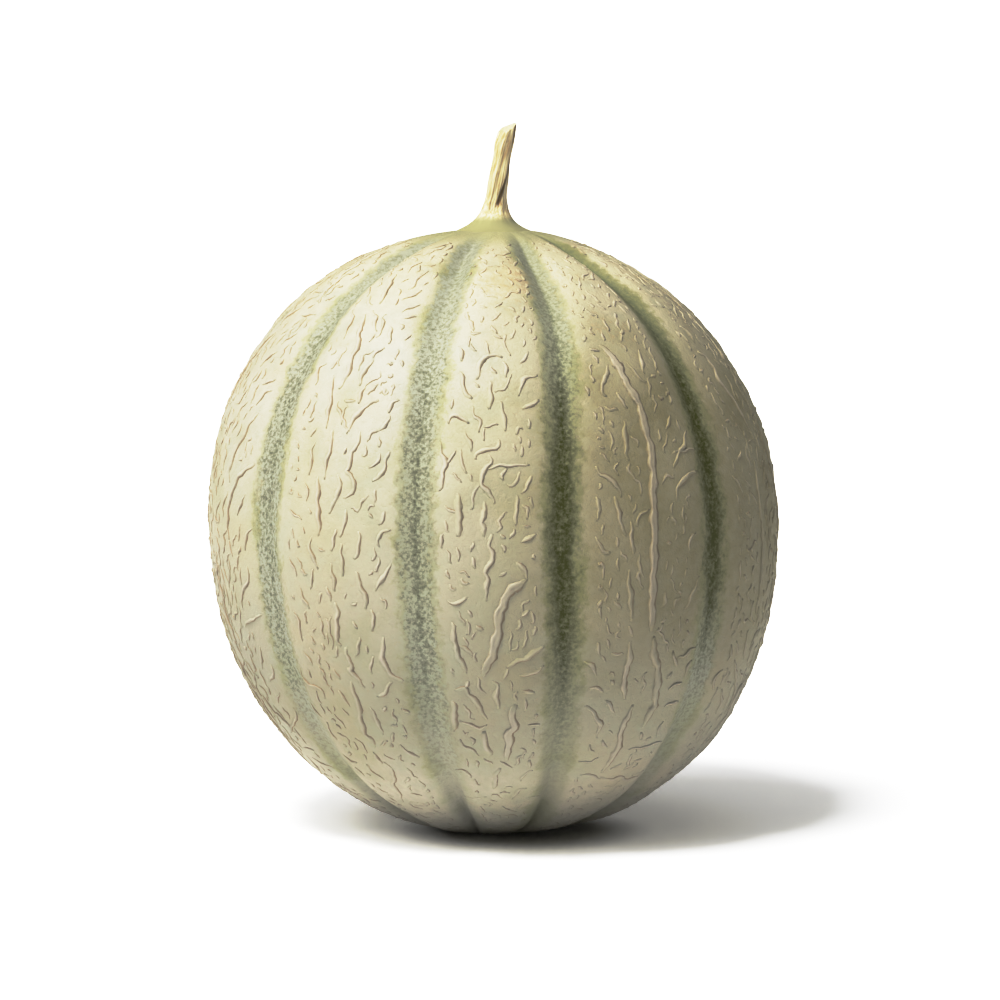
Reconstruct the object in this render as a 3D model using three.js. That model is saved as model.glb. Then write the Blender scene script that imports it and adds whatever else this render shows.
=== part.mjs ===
// A netted cantaloupe melon, standing on its blossom end with its dried stem on top.
//
// Units are millimetres and +Z is up. The origin is the centre of the small flat spot that the melon
// rests on. The front of the melon faces -Y. Longitude runs from the front towards +X, and latitude
// from the widest ring, at EQUATOR_HEIGHT, up to the stem and down to the blossom end. Both are in degrees.
import * as THREE from "three";

// Driving dimensions of the fruit.
const EQUATOR_RADIUS = 71.8;
const EQUATOR_HEIGHT = 77; // the widest ring, above the table
const UPPER_HALF = 72.8; // widest ring to the stem end, before the stem's seat is levelled
const LOWER_HALF = 78.2; // widest ring to the blossom end, before the flat spot is levelled
const UPPER_FULLNESS = 2.06; // 2 is an ellipse, and more is fuller in the shoulders
const LOWER_FULLNESS = 2.14;
const SEAT_HEIGHT = 149.2; // the level seat that the stem's foot grows from
const SEAT_EDGE = 82.7; // latitude of its edge
const FLAT_SPOT_EDGE = -79.7; // latitude of the edge of the flat spot
const LEAN = -0.026; // sideways drift of the axis per millimetre of height
const LEAN_FADE = 0.4; // the drift dies away past this cosine of the latitude, so the ends stay centred

// Ten sutures part the rind into ten lobes. They are a little uneven, as they grow.
const SUTURE_LONGITUDES = [-87, -49.7, -14.8, 13.5, 48.5, 86, 123.5, 161, 198.5, 236];
const SUTURE_DEPTH = 1.5; // at the widest ring
const SUTURE_DEPTH_GAIN = 1.8; // added towards both ends
const SUTURE_SCALLOP = 0.45; // share of the depth that spans the whole lobe. The valley has the rest
const SUTURE_VALLEY = 0.25; // width of the narrow valley, as a share of half a lobe
const SUTURE_END = 0.13; // cosine of the latitude where a suture ends
const SUTURE_FADE = 0.35; // how much more cosine it takes to reach its full depth

// The corky net. Strands of raised cord run along each lobe and leave the sutures bare. Neighbouring
// strands swing together at knots, and each strand is broken here and there. The cords are about twice
// as wide as the real ones. Widths and swings are shares of the lobe's width.
const STRANDS = 4;
const STRAND_COLUMNS = 3; // of the grid: a cord's left foot, its crest and its right foot
const STRAND_PITCH = 0.19;
const STRAND_SWING = 0.06;
const CORD_HALF_WIDTH = 0.03;
const CORD_HEIGHT = 1;
const CORD_LOWEST = 0.6; // the lowest stretch of a cord, as a share of the highest
const KNOTS = 0.16; // share of the rows where two neighbours meet
const BREAKS = 0.16; // share of the rows where a strand is broken
const NET_TOP = 66; // latitudes where the net has died away
const NET_BOTTOM = -70;
const NET_FADE = 12; // degrees over which it dies away
const ROWS = 45;

// Driving dimensions of the dried stem.
const STEM_HEIGHT = 25.5;
const STEM_RADIUS = 2.15;
const STEM_FOOT_RADIUS = 9;
const STEM_FLARE_HEIGHT = 2.7; // the foot narrows by a factor of e over this height
const STEM_LEAN = 3.6; // how far the top stands to the side of the foot
const STEM_LEAN_POWER = 1.4; // above 1, the stem leaves its foot upright and leans further up
const STEM_RIBS = 5;
const STEM_RIB_DEPTH = 0.14; // share of the radius
const STEM_RIB_START = 0.3; // share of the height at which they stand out fully
const STEM_TWIST = 0.9; // radians, over the height
const STEM_CUT_SLOPE = 0.4; // the cut rises towards +X
const STEM_RINGS = 16;
const STEM_SIDES = 20;
const STEM_RING_CROWDING = 1.7; // above 1, the rings crowd towards the foot

const RAD = Math.PI / 180;
const { clamp, lerp, smoothstep } = THREE.MathUtils;
const fract = (x) => x - Math.floor(x);
// A repeatable draw from 0 to 1 for item i. The salt picks which of the item's properties it is for.
const draw = (i, salt) => fract(Math.sin(i * 12.9898 + salt * 78.233) * 43758.5453);

// How far the rind sinks below the smooth body: a broad scallop with a narrow valley along each suture.
// The share runs from 0 to 1 across a lobe.
function sutureDepth(share, latitude) {
  const away = 1 - Math.abs(2 * share - 1);
  const valley = Math.exp(-((away / SUTURE_VALLEY) ** 2));
  const profile = lerp(valley, (1 - away) ** 2, SUTURE_SCALLOP);
  const depth = SUTURE_DEPTH + SUTURE_DEPTH_GAIN * Math.sin(latitude * RAD) ** 2;
  const fade = smoothstep(Math.cos(latitude * RAD), SUTURE_END, SUTURE_END + SUTURE_FADE);
  return depth * profile * fade;
}

// The smooth body: a superellipse turned about the axis, fuller below than above.
function bodyReach(latitude) {
  const half = latitude > 0 ? UPPER_HALF : LOWER_HALF;
  const fullness = latitude > 0 ? UPPER_FULLNESS : LOWER_FULLNESS;
  const across = Math.abs(Math.cos(latitude * RAD)) / EQUATOR_RADIUS;
  const along = Math.abs(Math.sin(latitude * RAD)) / half;
  return (across ** fullness + along ** fullness) ** (-1 / fullness);
}

// A point of the rind, raised by a height, with the flat spot and the stem's seat levelled.
function rindPoint(lobe, share, latitude, raised) {
  const next = lobe + 1;
  const end = next < SUTURE_LONGITUDES.length ? SUTURE_LONGITUDES[next] : SUTURE_LONGITUDES[0] + 360;
  const longitude = lerp(SUTURE_LONGITUDES[lobe], end, share) * RAD;
  const reach = bodyReach(latitude) - sutureDepth(share, latitude) + raised;
  const out = reach * Math.cos(latitude * RAD);
  const height = reach * Math.sin(latitude * RAD);
  const drift = LEAN * height * smoothstep(Math.cos(latitude * RAD), SUTURE_END, LEAN_FADE);
  return new THREE.Vector3(
    out * Math.sin(longitude) + drift,
    -out * Math.cos(longitude),
    clamp(EQUATOR_HEIGHT + height, 0, SEAT_HEIGHT),
  );
}

// Whether a strand and its right-hand neighbour meet at a row.
function isKnot(strand, row) {
  const hasNeighbour = strand % STRANDS < STRANDS - 1;
  return hasNeighbour && draw(strand * ROWS + row, 1) < KNOTS;
}

// A strand at a row: how far it swings to the side, as a share of its lobe, and how high it stands.
function strandAt(strand, row, latitude) {
  const item = strand * ROWS + row;
  const toRight = isKnot(strand, row);
  const toLeft = strand % STRANDS > 0 && isKnot(strand - 1, row);
  const idle = draw(item, 2) - 0.5;
  const swing = STRAND_SWING * (toRight || toLeft ? toRight - toLeft : idle);
  const isBroken = !toRight && !toLeft && draw(item, 3) < BREAKS;
  const ends = smoothstep(Math.min(NET_TOP - latitude, latitude - NET_BOTTOM), 0, NET_FADE);
  const height = isBroken ? 0 : CORD_HEIGHT * lerp(CORD_LOWEST, 1, draw(item, 4)) * ends;
  return { swing, height };
}

// The fruit: a sphere's grid moved to the rind. A lobe has one column along its suture, and then the
// columns of each of its strands.
function nettedFruit() {
  const lobeColumns = 1 + STRAND_COLUMNS * STRANDS;
  const columns = SUTURE_LONGITUDES.length * lobeColumns;
  const latitudeOf = (row) => {
    if (row === 0) return -90;
    return row === ROWS ? 90 : lerp(FLAT_SPOT_EDGE, SEAT_EDGE, (row - 1) / (ROWS - 2));
  };
  return shaped(new THREE.SphereGeometry(1, columns, ROWS), (_, i) => {
    const row = ROWS - Math.floor(i / (columns + 1));
    const column = (i % (columns + 1)) % columns;
    const lobe = Math.floor(column / lobeColumns);
    const inLobe = column % lobeColumns;
    const latitude = latitudeOf(row);
    if (inLobe === 0) return rindPoint(lobe, 0, latitude, 0);
    const strand = Math.floor((inLobe - 1) / STRAND_COLUMNS);
    const side = ((inLobe - 1) % STRAND_COLUMNS) - 1;
    const { swing, height } = strandAt(lobe * STRANDS + strand, row, latitude);
    const middle = 0.5 + (strand - (STRANDS - 1) / 2) * STRAND_PITCH;
    const share = middle + swing + side * CORD_HALF_WIDTH;
    return rindPoint(lobe, share, latitude, side === 0 ? height : 0);
  });
}

// Moves each vertex of a template geometry to the point that a formula gives for it.
function shaped(template, formula) {
  const position = template.attributes.position;
  for (let i = 0; i < position.count; i++) {
    const point = formula(new THREE.Vector3().fromBufferAttribute(position, i), i);
    position.setXYZ(i, point.x, point.y, point.z);
  }
  template.computeVertexNormals();
  return template;
}

// The dried stem: a ribbed and twisted stalk with a flared foot and a slanting cut.
function driedStem() {
  const template = new THREE.CylinderGeometry(1, 1, 1, STEM_SIDES, STEM_RINGS);
  return shaped(template, (corner) => {
    const share = clamp(corner.y + 0.5, 0, 1) ** STEM_RING_CROWDING;
    const angle = Math.atan2(corner.z, corner.x) + STEM_TWIST * share;
    const foot = Math.exp((-share * STEM_HEIGHT) / STEM_FLARE_HEIGHT);
    const ribs = 1 + STEM_RIB_DEPTH * Math.cos(STEM_RIBS * angle) * smoothstep(share, 0, STEM_RIB_START);
    const radius = lerp(STEM_RADIUS, STEM_FOOT_RADIUS, foot) * ribs;
    const cut = share === 1 ? STEM_CUT_SLOPE * corner.x * radius : 0;
    return new THREE.Vector3(
      corner.x * radius + STEM_LEAN * share ** STEM_LEAN_POWER,
      -corner.z * radius,
      SEAT_HEIGHT + STEM_HEIGHT * share + cut,
    );
  });
}

function part(name, geometry, color, roughness) {
  const material = new THREE.MeshStandardMaterial({ color, roughness, metalness: 0 });
  const mesh = new THREE.Mesh(geometry, material);
  mesh.name = name;
  return mesh;
}

const melon = new THREE.Group();
melon.name = "cantaloupe_melon";
melon.add(part("fruit", nettedFruit(), "#cdc6a4", 0.6));
melon.add(part("stem", driedStem(), "#cdb987", 0.8));

export default melon;
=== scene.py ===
"""Dresses a netted cantaloupe melon: its rind, its corky net and its dried stem, on a white studio floor.

The shapes are worked out in millimetres, with +Z up and the front facing -Y, and go into the meshes in
metres. The rind and the net share one formula for the melon's surface. Longitude runs from the front
towards +X, and latitude from the widest ring up to the stem and down to the blossom end.
"""

import math
from collections import namedtuple

import bpy
import numpy as np
from bpy.props import FloatProperty, FloatVectorProperty, IntProperty, PointerProperty
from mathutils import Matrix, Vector


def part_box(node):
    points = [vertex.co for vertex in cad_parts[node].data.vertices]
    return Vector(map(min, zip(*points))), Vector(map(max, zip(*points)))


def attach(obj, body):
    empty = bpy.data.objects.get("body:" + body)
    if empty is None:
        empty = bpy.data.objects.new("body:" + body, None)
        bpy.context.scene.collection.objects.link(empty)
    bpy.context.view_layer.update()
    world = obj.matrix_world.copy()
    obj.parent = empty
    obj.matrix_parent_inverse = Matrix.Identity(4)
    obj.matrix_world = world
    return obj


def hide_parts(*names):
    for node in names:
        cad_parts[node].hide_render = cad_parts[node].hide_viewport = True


bl_info = {
    "name": "Netted Cantaloupe",
    "version": (1, 0, 0),
    "blender": (4, 5, 0),
    "location": "3D View > Sidebar > Melon",
    "description": "Makes a netted cantaloupe melon with its dried stem",
    "category": "Object",
}

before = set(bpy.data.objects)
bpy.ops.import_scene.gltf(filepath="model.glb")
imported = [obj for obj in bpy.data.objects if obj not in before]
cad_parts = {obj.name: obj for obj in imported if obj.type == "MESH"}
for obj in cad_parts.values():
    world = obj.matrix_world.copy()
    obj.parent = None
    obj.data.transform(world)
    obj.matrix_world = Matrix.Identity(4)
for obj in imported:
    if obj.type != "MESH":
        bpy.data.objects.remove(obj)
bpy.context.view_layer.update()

MM = 0.001
STEM_BOX = np.array(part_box("stem")) / MM

# The melon's surface, in millimetres. These are the dimensions that its solid was built to.
EQUATOR_RADIUS = 71.8
EQUATOR_HEIGHT = 77.0  # the widest ring, above the floor
UPPER_HALF = 72.8
LOWER_HALF = 78.2
UPPER_FULLNESS = 2.06  # 2 is an ellipse, and more is fuller in the shoulders
LOWER_FULLNESS = 2.14
SEAT_EDGE = math.radians(82.7)
FLAT_SPOT_EDGE = math.radians(-79.7)
LEAN = -0.026  # sideways drift of the axis per millimetre of height
LEAN_FADE = 0.4
SUTURE_LONGITUDES = np.array([-87, -49.7, -14.8, 13.5, 48.5, 86, 123.5, 161, 198.5, 236])
SUTURE_ENDS = np.append(SUTURE_LONGITUDES, SUTURE_LONGITUDES[0] + 360)
SUTURE_DEPTH = 1.5
SUTURE_DEPTH_GAIN = 1.8  # added towards both ends
BROAD_SCALLOP = 0.45  # share of the depth that spans the whole lobe
NARROW_VALLEY = 0.55  # share of it in a valley along the suture
# Width of that valley, as a share of half a lobe: narrow at the blossom end and wide near the stem.
VALLEY_LATITUDES = np.radians([-62, -38, 32, 60])
VALLEY_WIDTHS = [0.14, 0.25, 0.25, 0.34]
SUTURE_END = 0.13  # cosine of the latitude where a suture ends
SUTURE_FADE = 0.35
UNEVENNESS = 0.28  # how far the rind swells and sinks softly
SWELL_SEED = 5
SWELL_SINES = 14  # how many are added up
SWELL_WAVES = (5, 15)  # the fewest waves of each round the melon, and one more than the most
# How dark each suture's green band is: towards the stem, at the widest ring and towards the blossom end.
SUTURE_DARKNESS = np.array([
    (0.3, 0.4, 0.3), (0.38, 0.36, 0.35), (0.36, 0.48, 0.38), (0.5, 1.0, 0.68), (0.88, 1.0, 0.32),
    (0.4, 0.7, 0.4), (0.4, 0.5, 0.4), (0.5, 0.85, 0.6), (0.45, 0.6, 0.5), (0.5, 0.75, 0.4),
])
# How far each suture swings towards +X of the front as it nears the stem, in degrees.
SUTURE_SWINGS = np.array([0, 0, 3.5, 10.5, 6.5, 2, -3, 2, -2, 1])
SWING_ENDS = np.append(SUTURE_SWINGS, SUTURE_SWINGS[0])
LOWER_SWING = 0.3  # share of it towards the blossom end
BAND_HALF_WIDTH = 4.4  # of the green band along a suture, at the widest ring
BAND_END_WIDTH = 2.2  # and towards both ends
# Latitudes, in radians, between which its darkness turns to that of its upper end, and below, its lower end.
UPPER_DARKENING = (0.1, 0.85)
LOWER_DARKENING = (0, 0.6)

# The sight line that the cords of the front were laid out along.
EYE_DISTANCE = 1100.0
EYE_ELEVATION = math.radians(5.5)
SIGHT_STEPS = 24
SIGHT_START = 1.4  # where the search along it starts, in radii before the middle

RIND_COLUMNS = 40  # for each lobe
RIND_ROWS = 200
SCAR_LATITUDES = np.radians([-89.0, -87.5, -86.0, -84.5, -83.0, -81.5])  # of the rows on the flat spot
SEAT_LATITUDES = np.radians([84.5, 86.5, 88.5])  # and under the stem
NORMAL_STEP = 0.01  # radians to each side over which the rind's slope is taken

# The skin's patterns: the size of each in millimetres, its detail and its roughness.
SKIN_NOISES = {
    "broad": (30, 2.0, 0.5), "blotch": (13, 3.0, 0.5), "patch": (6, 3.0, 0.5),
    "mottle": (2.0, 3.0, 0.6), "grain": (0.9, 2.5, 0.65),
}
RUSSET_LONGITUDE = 12  # of the large patch of russet speckles, in degrees
RUSSET_LATITUDE = 58
RUSSET_RADII = (16 * MM, 3.2 * MM)  # where it starts and where it is full
RUSSET_HEIGHTS = (105 * MM, 140 * MM)  # of the small ones

# Where each wash over the skin starts and where it is full, in metres. All but the cheek's side are heights.
# The upper and top washes are paler: partly the skin's bloom, partly painted sheen from the lights above.
UPPER_BLOOM_AND_SHEEN = (35 * MM, 125 * MM)
TOP_BLOOM_AND_SHEEN = (120 * MM, 145 * MM)
BASE_SKIN = (32 * MM, 8 * MM)
SEAT_SKIN = (145.5 * MM, 149 * MM)  # round the foot of the stem
# The cheek lies on the right, away from the lights. Its darker olive is partly the skin's own tone and partly
# painted shade.
SHADED_CHEEK_SIDE = (-20 * MM, 45 * MM)
SHADED_CHEEK_BASE = (25 * MM, 75 * MM)
SHADED_CHEEK_TOP = (146 * MM, 105 * MM)
LOW_BAND = (60 * MM, 12 * MM)  # the paler part of a green band towards the blossom end
HIGH_BAND = (110 * MM, 143 * MM)  # and towards the stem

# The green bands. Patterns shift their edges by these shares of a half width, and crowd their dark cells.
EDGE_SHIFTS = {"patch": 0.8, "mottle": 1.3, "grain": 0.5}
CELL_CLUMPING = {"patch": 0.7, "mottle": 1.2}
CORE_WIDTHS = (0.05, 0.64)  # of the core of a pale suture and of a dark one, in half widths of the band
CORE_INNER_FADE = 0.3
CORE_OUTER_FADE = 0.4
LOW_THINNING = 0.3  # how much fewer cells are dark towards the blossom end
HIGH_THINNING = 0.22  # and towards the stem

# Patterns of the cork and of the dried stem, in millimetres, and zones of the stem, in metres.
SCUFF_SIZE = 2.6
PORE_SIZE = 0.5
FIBRE_SIZE = 0.5
FIBRE_STRETCH = 0.09  # a fibre's width as a share of its length
STAIN_SIZE = 4
GREEN_FOOT = (3.8 * MM, 1.8 * MM)  # heights above the seat where the green starts and is full
WOODY_STALK = (1.5 * MM, 4 * MM)  # and where the fibres start to stand out, and do so fully

# The frame of the picture, in millimetres at the melon, and the floor, in metres.
FRAME_WIDTH = 250.0
FRAME_RIGHT = 1.75
FRAME_UP = 5.0
FLOOR_HALF_WIDTH = 40.0
CONTACT_SHADOW_SPOT = (0.007, -0.008, 0)  # where the paper glows least, a painted contact shadow under the melon
CONTACT_SHADOW_RADII = (0.018, 0.034)  # where its glow starts and is full
SENSOR_WIDTH = 36.0  # of the camera, in millimetres

# How light is shown: linear light and linear screen colour. Above the last, all is white.
TONE_WHITE = 1.5
TONE_POINTS = [(0.12, 0.05), (0.2, 0.08), (0.3, 0.122), (0.45, 0.222), (0.6, 0.43), (0.8, 0.75), (1.0, 0.88)]
STRIP_STRENGTH = 2.0  # of the white strip along the horizon
STRIP_HEIGHTS = (0.03, 0.06)  # sines of the heights between which it ends

# The net, in millimetres and radians.
ROUTE_STEP = 0.85
FEWEST_STEPS = 5  # points of a route
PHASES = 6.28  # a wave's start is drawn from 0 to this
# How a growing cord's heading swings: the size of each swing, and its least and most radians a millimetre.
HEADING_SWINGS = [(1, 0.5, 0.9), (0.6, 1.4, 2.4)]
NET_TOP = math.radians(74)
NET_BOTTOM = math.radians(-72)
WRINKLE_LATITUDE = math.radians(-42)  # below this, the flecks lie across the melon
NET_REACH = 0.39  # how near the sutures the net comes, as a share of a lobe from its middle
WIGGLE = 0.22  # how far a ridge strays to each side
WIGGLE_WAVES = (7, 2.2)  # its longest and its shortest wave
SWELLING = 0.22  # share by which a ridge swells and shrinks
SWELLING_WAVES = (9, 2.5)
LONG_WAVES = 0.6  # the least of the long waves, as a share of the longest
SHORT_WAVE_SHARE = 0.7  # how strong the short wave is beside the long one
WAVE_SUM = 1.4  # about what the two add up to at most
TAPER_LENGTH = 4.5
TAPERS = 2.2  # how many tapers a short ridge has room for
TAPER_POWER = 0.6  # below 1, a taper is blunt
TIP_WIDTH = 0.35  # shares that are left at a ridge's tips
TIP_CREVICE_AND_SHADE = 0.3
RIM_HEIGHT = 0.03  # how far a ridge's feet stand clear of the rind
RIM_START = 0.9  # where they start to sink in it, as a share of its half width
TOP_FADE = 0.3  # share of its height that a ridge loses near the stem
TOP_FADE_LATITUDES = (0.5, 1.1)
BASE_FADE = 0.45  # and near the blossom end
BASE_FADE_LATITUDES = (0.5, 1.0)
FOOT_SINK = 0.12  # how deep they end
SUTURE_SINK = 1.6  # how deep a ridge is buried on a suture, so the sutures stay bare
BARE_SHARE = 0.09  # share of a lobe from the suture where it comes out
CORK_ROUGHNESS = 0.12  # spread of the crest's height, as a share of it
EDGE_ROUGHNESS = 0.09  # spread of the width
CRACK_WIDTH = 0.24  # of a cracked crest, as a share of half the ridge
CREVICE_AND_SHADE_LEAD = 0.45  # width of the brown line and painted shade along the right foot, away from the lights, as a share of half the ridge
CREVICE_AND_SHADE_END = 0.92  # where it starts to fade
LEFT_CREVICE_AND_SHADE_LEAD = 0.02  # how far past the left foot that crevice is full, and how wide it is
LEFT_CREVICE_AND_SHADE_WIDTH = 0.25
THINNEST_CORD = 0.5  # height of the thinnest cord, as a share of a middling one
THICKNESS_GAIN = 0.9  # how much higher a cord is for each millimetre of its half width
FLECK_CLEARANCE = 0.095  # from a suture, as a share of the lobe
FLECK_GAP = 2.15  # between the middle of a fleck and the cords and other flecks
CORD_SAMPLING = 5  # every fifth vertex of the cords is kept clear of
FRONT_FLECKS = 0.5  # share of the flecks on the five lobes that face the front
LAST_FRONT_LOBE = 4  # of the five
NET_SEED = 11

# Ranges that a growing cord's properties are drawn from, and how far its heading strays.
GROWN_LENGTHS = [(5, 12), (12, 32)]
GROWN_HALF_WIDTHS = (0.35, 0.65)
GROWN_HEIGHTS = (0.75, 1.1)
STRAYING = 0.25
WRINKLE_STRAYING = 0.7  # below the wrinkle latitude

# The same for a fleck. It slants away from the sutures, and less in the middle of a lobe.
FLECK_CROWDING = 1.25  # above 1, flecks crowd beside the sutures
FLECK_SLANT = 0.6
FLECK_SLANT_LOSS = 0.45
FLECK_STRAYING = 0.4
SHORT_FLECKS = (2, 4)
LONG_FLECKS = (3.5, 5)
FLECK_LENGTH_GAIN = 5  # in the middle of a lobe
FLECK_WANDERING = (0.4, 1.5)  # how far its heading swings beside a suture
WRINKLE_SLANT = 1.1
WRINKLE_SLANT_STRAYING = 0.45
WRINKLE_LENGTHS = (2, 5)
FLECK_HALF_WIDTHS = (0.28, 0.42)
FLECK_HEIGHTS = (0.6, 1.2)

# How a ridge's height runs across it, from u = -1 to 1. It rises from the start to the rise and drops from
# the fall to the foot. A lipped cord rises slowly and drops steeply, and a level one is steep on both sides.
# The left crevice is how brown its left foot is, partly painted shade in the crease beside it. Its right foot
# is at 1, where the brown is partly painted shade on the side away from the lights.
RidgeShape = namedtuple("RidgeShape", "start rise fall foot crack left_crevice sides")
LIPPED, LEVEL, CRACKED, FLECK = "lipped", "level", "cracked", "fleck"
RIDGE_SHAPES = {
    LIPPED: RidgeShape(start=-1.0, rise=0.1, fall=0.25, foot=0.85, crack=0.0, left_crevice=0.0, sides=10),
    LEVEL: RidgeShape(start=-0.95, rise=-0.5, fall=-0.2, foot=0.9, crack=0.0, left_crevice=0.3, sides=12),
    CRACKED: RidgeShape(start=-0.95, rise=-0.6, fall=0.2, foot=0.9, crack=0.3, left_crevice=0.4, sides=13),
    FLECK: RidgeShape(start=-1.0, rise=0.0, fall=0.15, foot=0.85, crack=0.0, left_crevice=0.25, sides=7),
}
# Lobe, first and last share of its width, and number of cords that wander down it.
HIDDEN_STRETCHES = [(0, 0.14, 0.5, 16), (4, 0.55, 0.86, 16)]
HIDDEN_STRETCHES += [(lobe, 0.14, 0.86, 44) for lobe in range(5, 10)]

# The blossom scar under the melon, in millimetres.
SCAR_RADIUS = 4.0
SCAR_REACH = 1.0

# The dried stem, in millimetres and radians.
STEM_RINGS = 90
STEM_SIDES = 96
STEM_RING_CROWDING = 1.7
STEM_TWIST = 0.9
STEM_LEAN_POWER = 1.4
STEM_CUT_SLOPE = 0.42
STEM_CUT_RISE = 0.95  # of the cut's higher side above its middle
STEM_CUT_START = 0.82  # share of the height where the rings start to slant
STEM_FOOT_SINK = 0.5
# Sets of ribs: depth as a share of the radius, ribs round the stem, and the angle that they start from.
STEM_RIBS = [(0.06, 5, 0.4), (0.04, 3, 1.9), (0.03, 11, 0.5)]
STEM_RIBS_FULL = 0.25  # share of the height where they are at their full depth
FIBRE_RIBS = (0.018, 26, 9)  # fine ribs, which twist: depth, count and radians over the height
STEM_SWELLS = (0.05, 15, 0.6)  # soft swells up the stem: depth, radians over the height and start
STEM_SWELL_SHARES = (0.2, 0.4)  # shares of the height between which they come in
SKIRT_WIDTH = 1.4  # the foot's thin skirt, which spreads over the rind
SKIRT_HEIGHT = 0.4
SKIRT_WAVES = (0.25, 7, 1)  # its wavy edge: depth, waves round it and start
# The groove runs up the stem's right side, away from the lights. Its dark brown is partly withered fibre and
# partly painted shade.
GROOVE_FOOT = -1.5  # where the groove starts, towards the front, and where it ends, to the right
GROOVE_TOP = -0.35
GROOVE_WIDTH = 0.3
GROOVE_DEPTH = 0.13
GROOVE_TURNS = (0.1, 0.65)  # shares of the height between which it turns
GROOVE_RISES = (0.1, 0.3)  # and between which it deepens
STEM_CUT_TILT = 0.3  # towards the front
HOLLOW_RINGS = np.array([0.86, 0.72, 0.45, 0.2])  # of the hollow in the cut, as shares of its edge
HOLLOW_DEPTHS = np.array([0.05, 0.5, 0.75, 0.8])  # and how deep each lies
HOLLOW_FIBRE = np.array([1, 1, 0.98])

# Cords of the net on the front. Each has its half width, and the points that it runs through: millimetres to
# the right of the melon's middle and above its widest ring, as seen along the sight line.
# Along the left edge, beyond the first suture of the front.
LEFT_LIMB_CORDS = [
    (0.55, (-59.3, 14.3), (-61.3, 13), (-63.3, 11.3), (-64.8, 8), (-66, 3.8), (-66.3, -1.3), (-66, -5)),
    (0.5, (-58.3, 27.3), (-60.3, 25), (-61.8, 22), (-63.8, 18.5), (-65, 15.5), (-65.8, 12.5),
     (-65.8, 9.5)),
    (0.45, (-62, 6.5), (-63, 4.5), (-64, 1.3)),
    (0.4, (-63.3, -0.8), (-63.8, -5)),
    (0.45, (-60.3, -2), (-61.8, -3.5), (-62, -7.5)),
    (0.45, (-61.5, -11.3), (-61, -14.5), (-62.5, -18), (-62.5, -22)),
    (0.4, (-57.8, -23.3), (-59.3, -24.3), (-60.8, -24.8), (-62, -26.3)),
    (0.45, (-58.3, -31.3), (-58, -35), (-57.8, -37)),
    (0.4, (-55.5, -35.8), (-55, -38), (-56, -40)),
    (0.35, (-53.5, -42.5), (-54, -45)),
    (0.45, (-55.3, -45.8), (-53.3, -48), (-52, -50)),
    (0.4, (-49.8, -46.3), (-49.3, -48.8), (-50.3, -50.5), (-51, -52.5)),
    (0.35, (-47.8, -56.3), (-45.3, -56.8)),
    (0.5, (-47.3, -58.3), (-45, -61), (-43.3, -63.8)),
    (0.35, (-45.8, -58.8), (-42.8, -60.5), (-40.3, -61.3)),
    (0.4, (-48.3, 47.5), (-50.8, 46), (-52.5, 44.5)),
    (0.4, (-53.3, 43), (-55.8, 41), (-57.8, 39)),
    (0.5, (-46.8, 54.3), (-49.3, 52.8), (-51.8, 50.8), (-52.8, 49.5)),
    (0.35, (-51.8, 40.8), (-53, 39.5)),
    (0.35, (-43.8, 52.3), (-47.3, 52)),
    (0.4, (-55, 33), (-57, 32), (-59, 29)),
    (0.35, (-54, 35.8), (-57.3, 34.3)),
]

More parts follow.
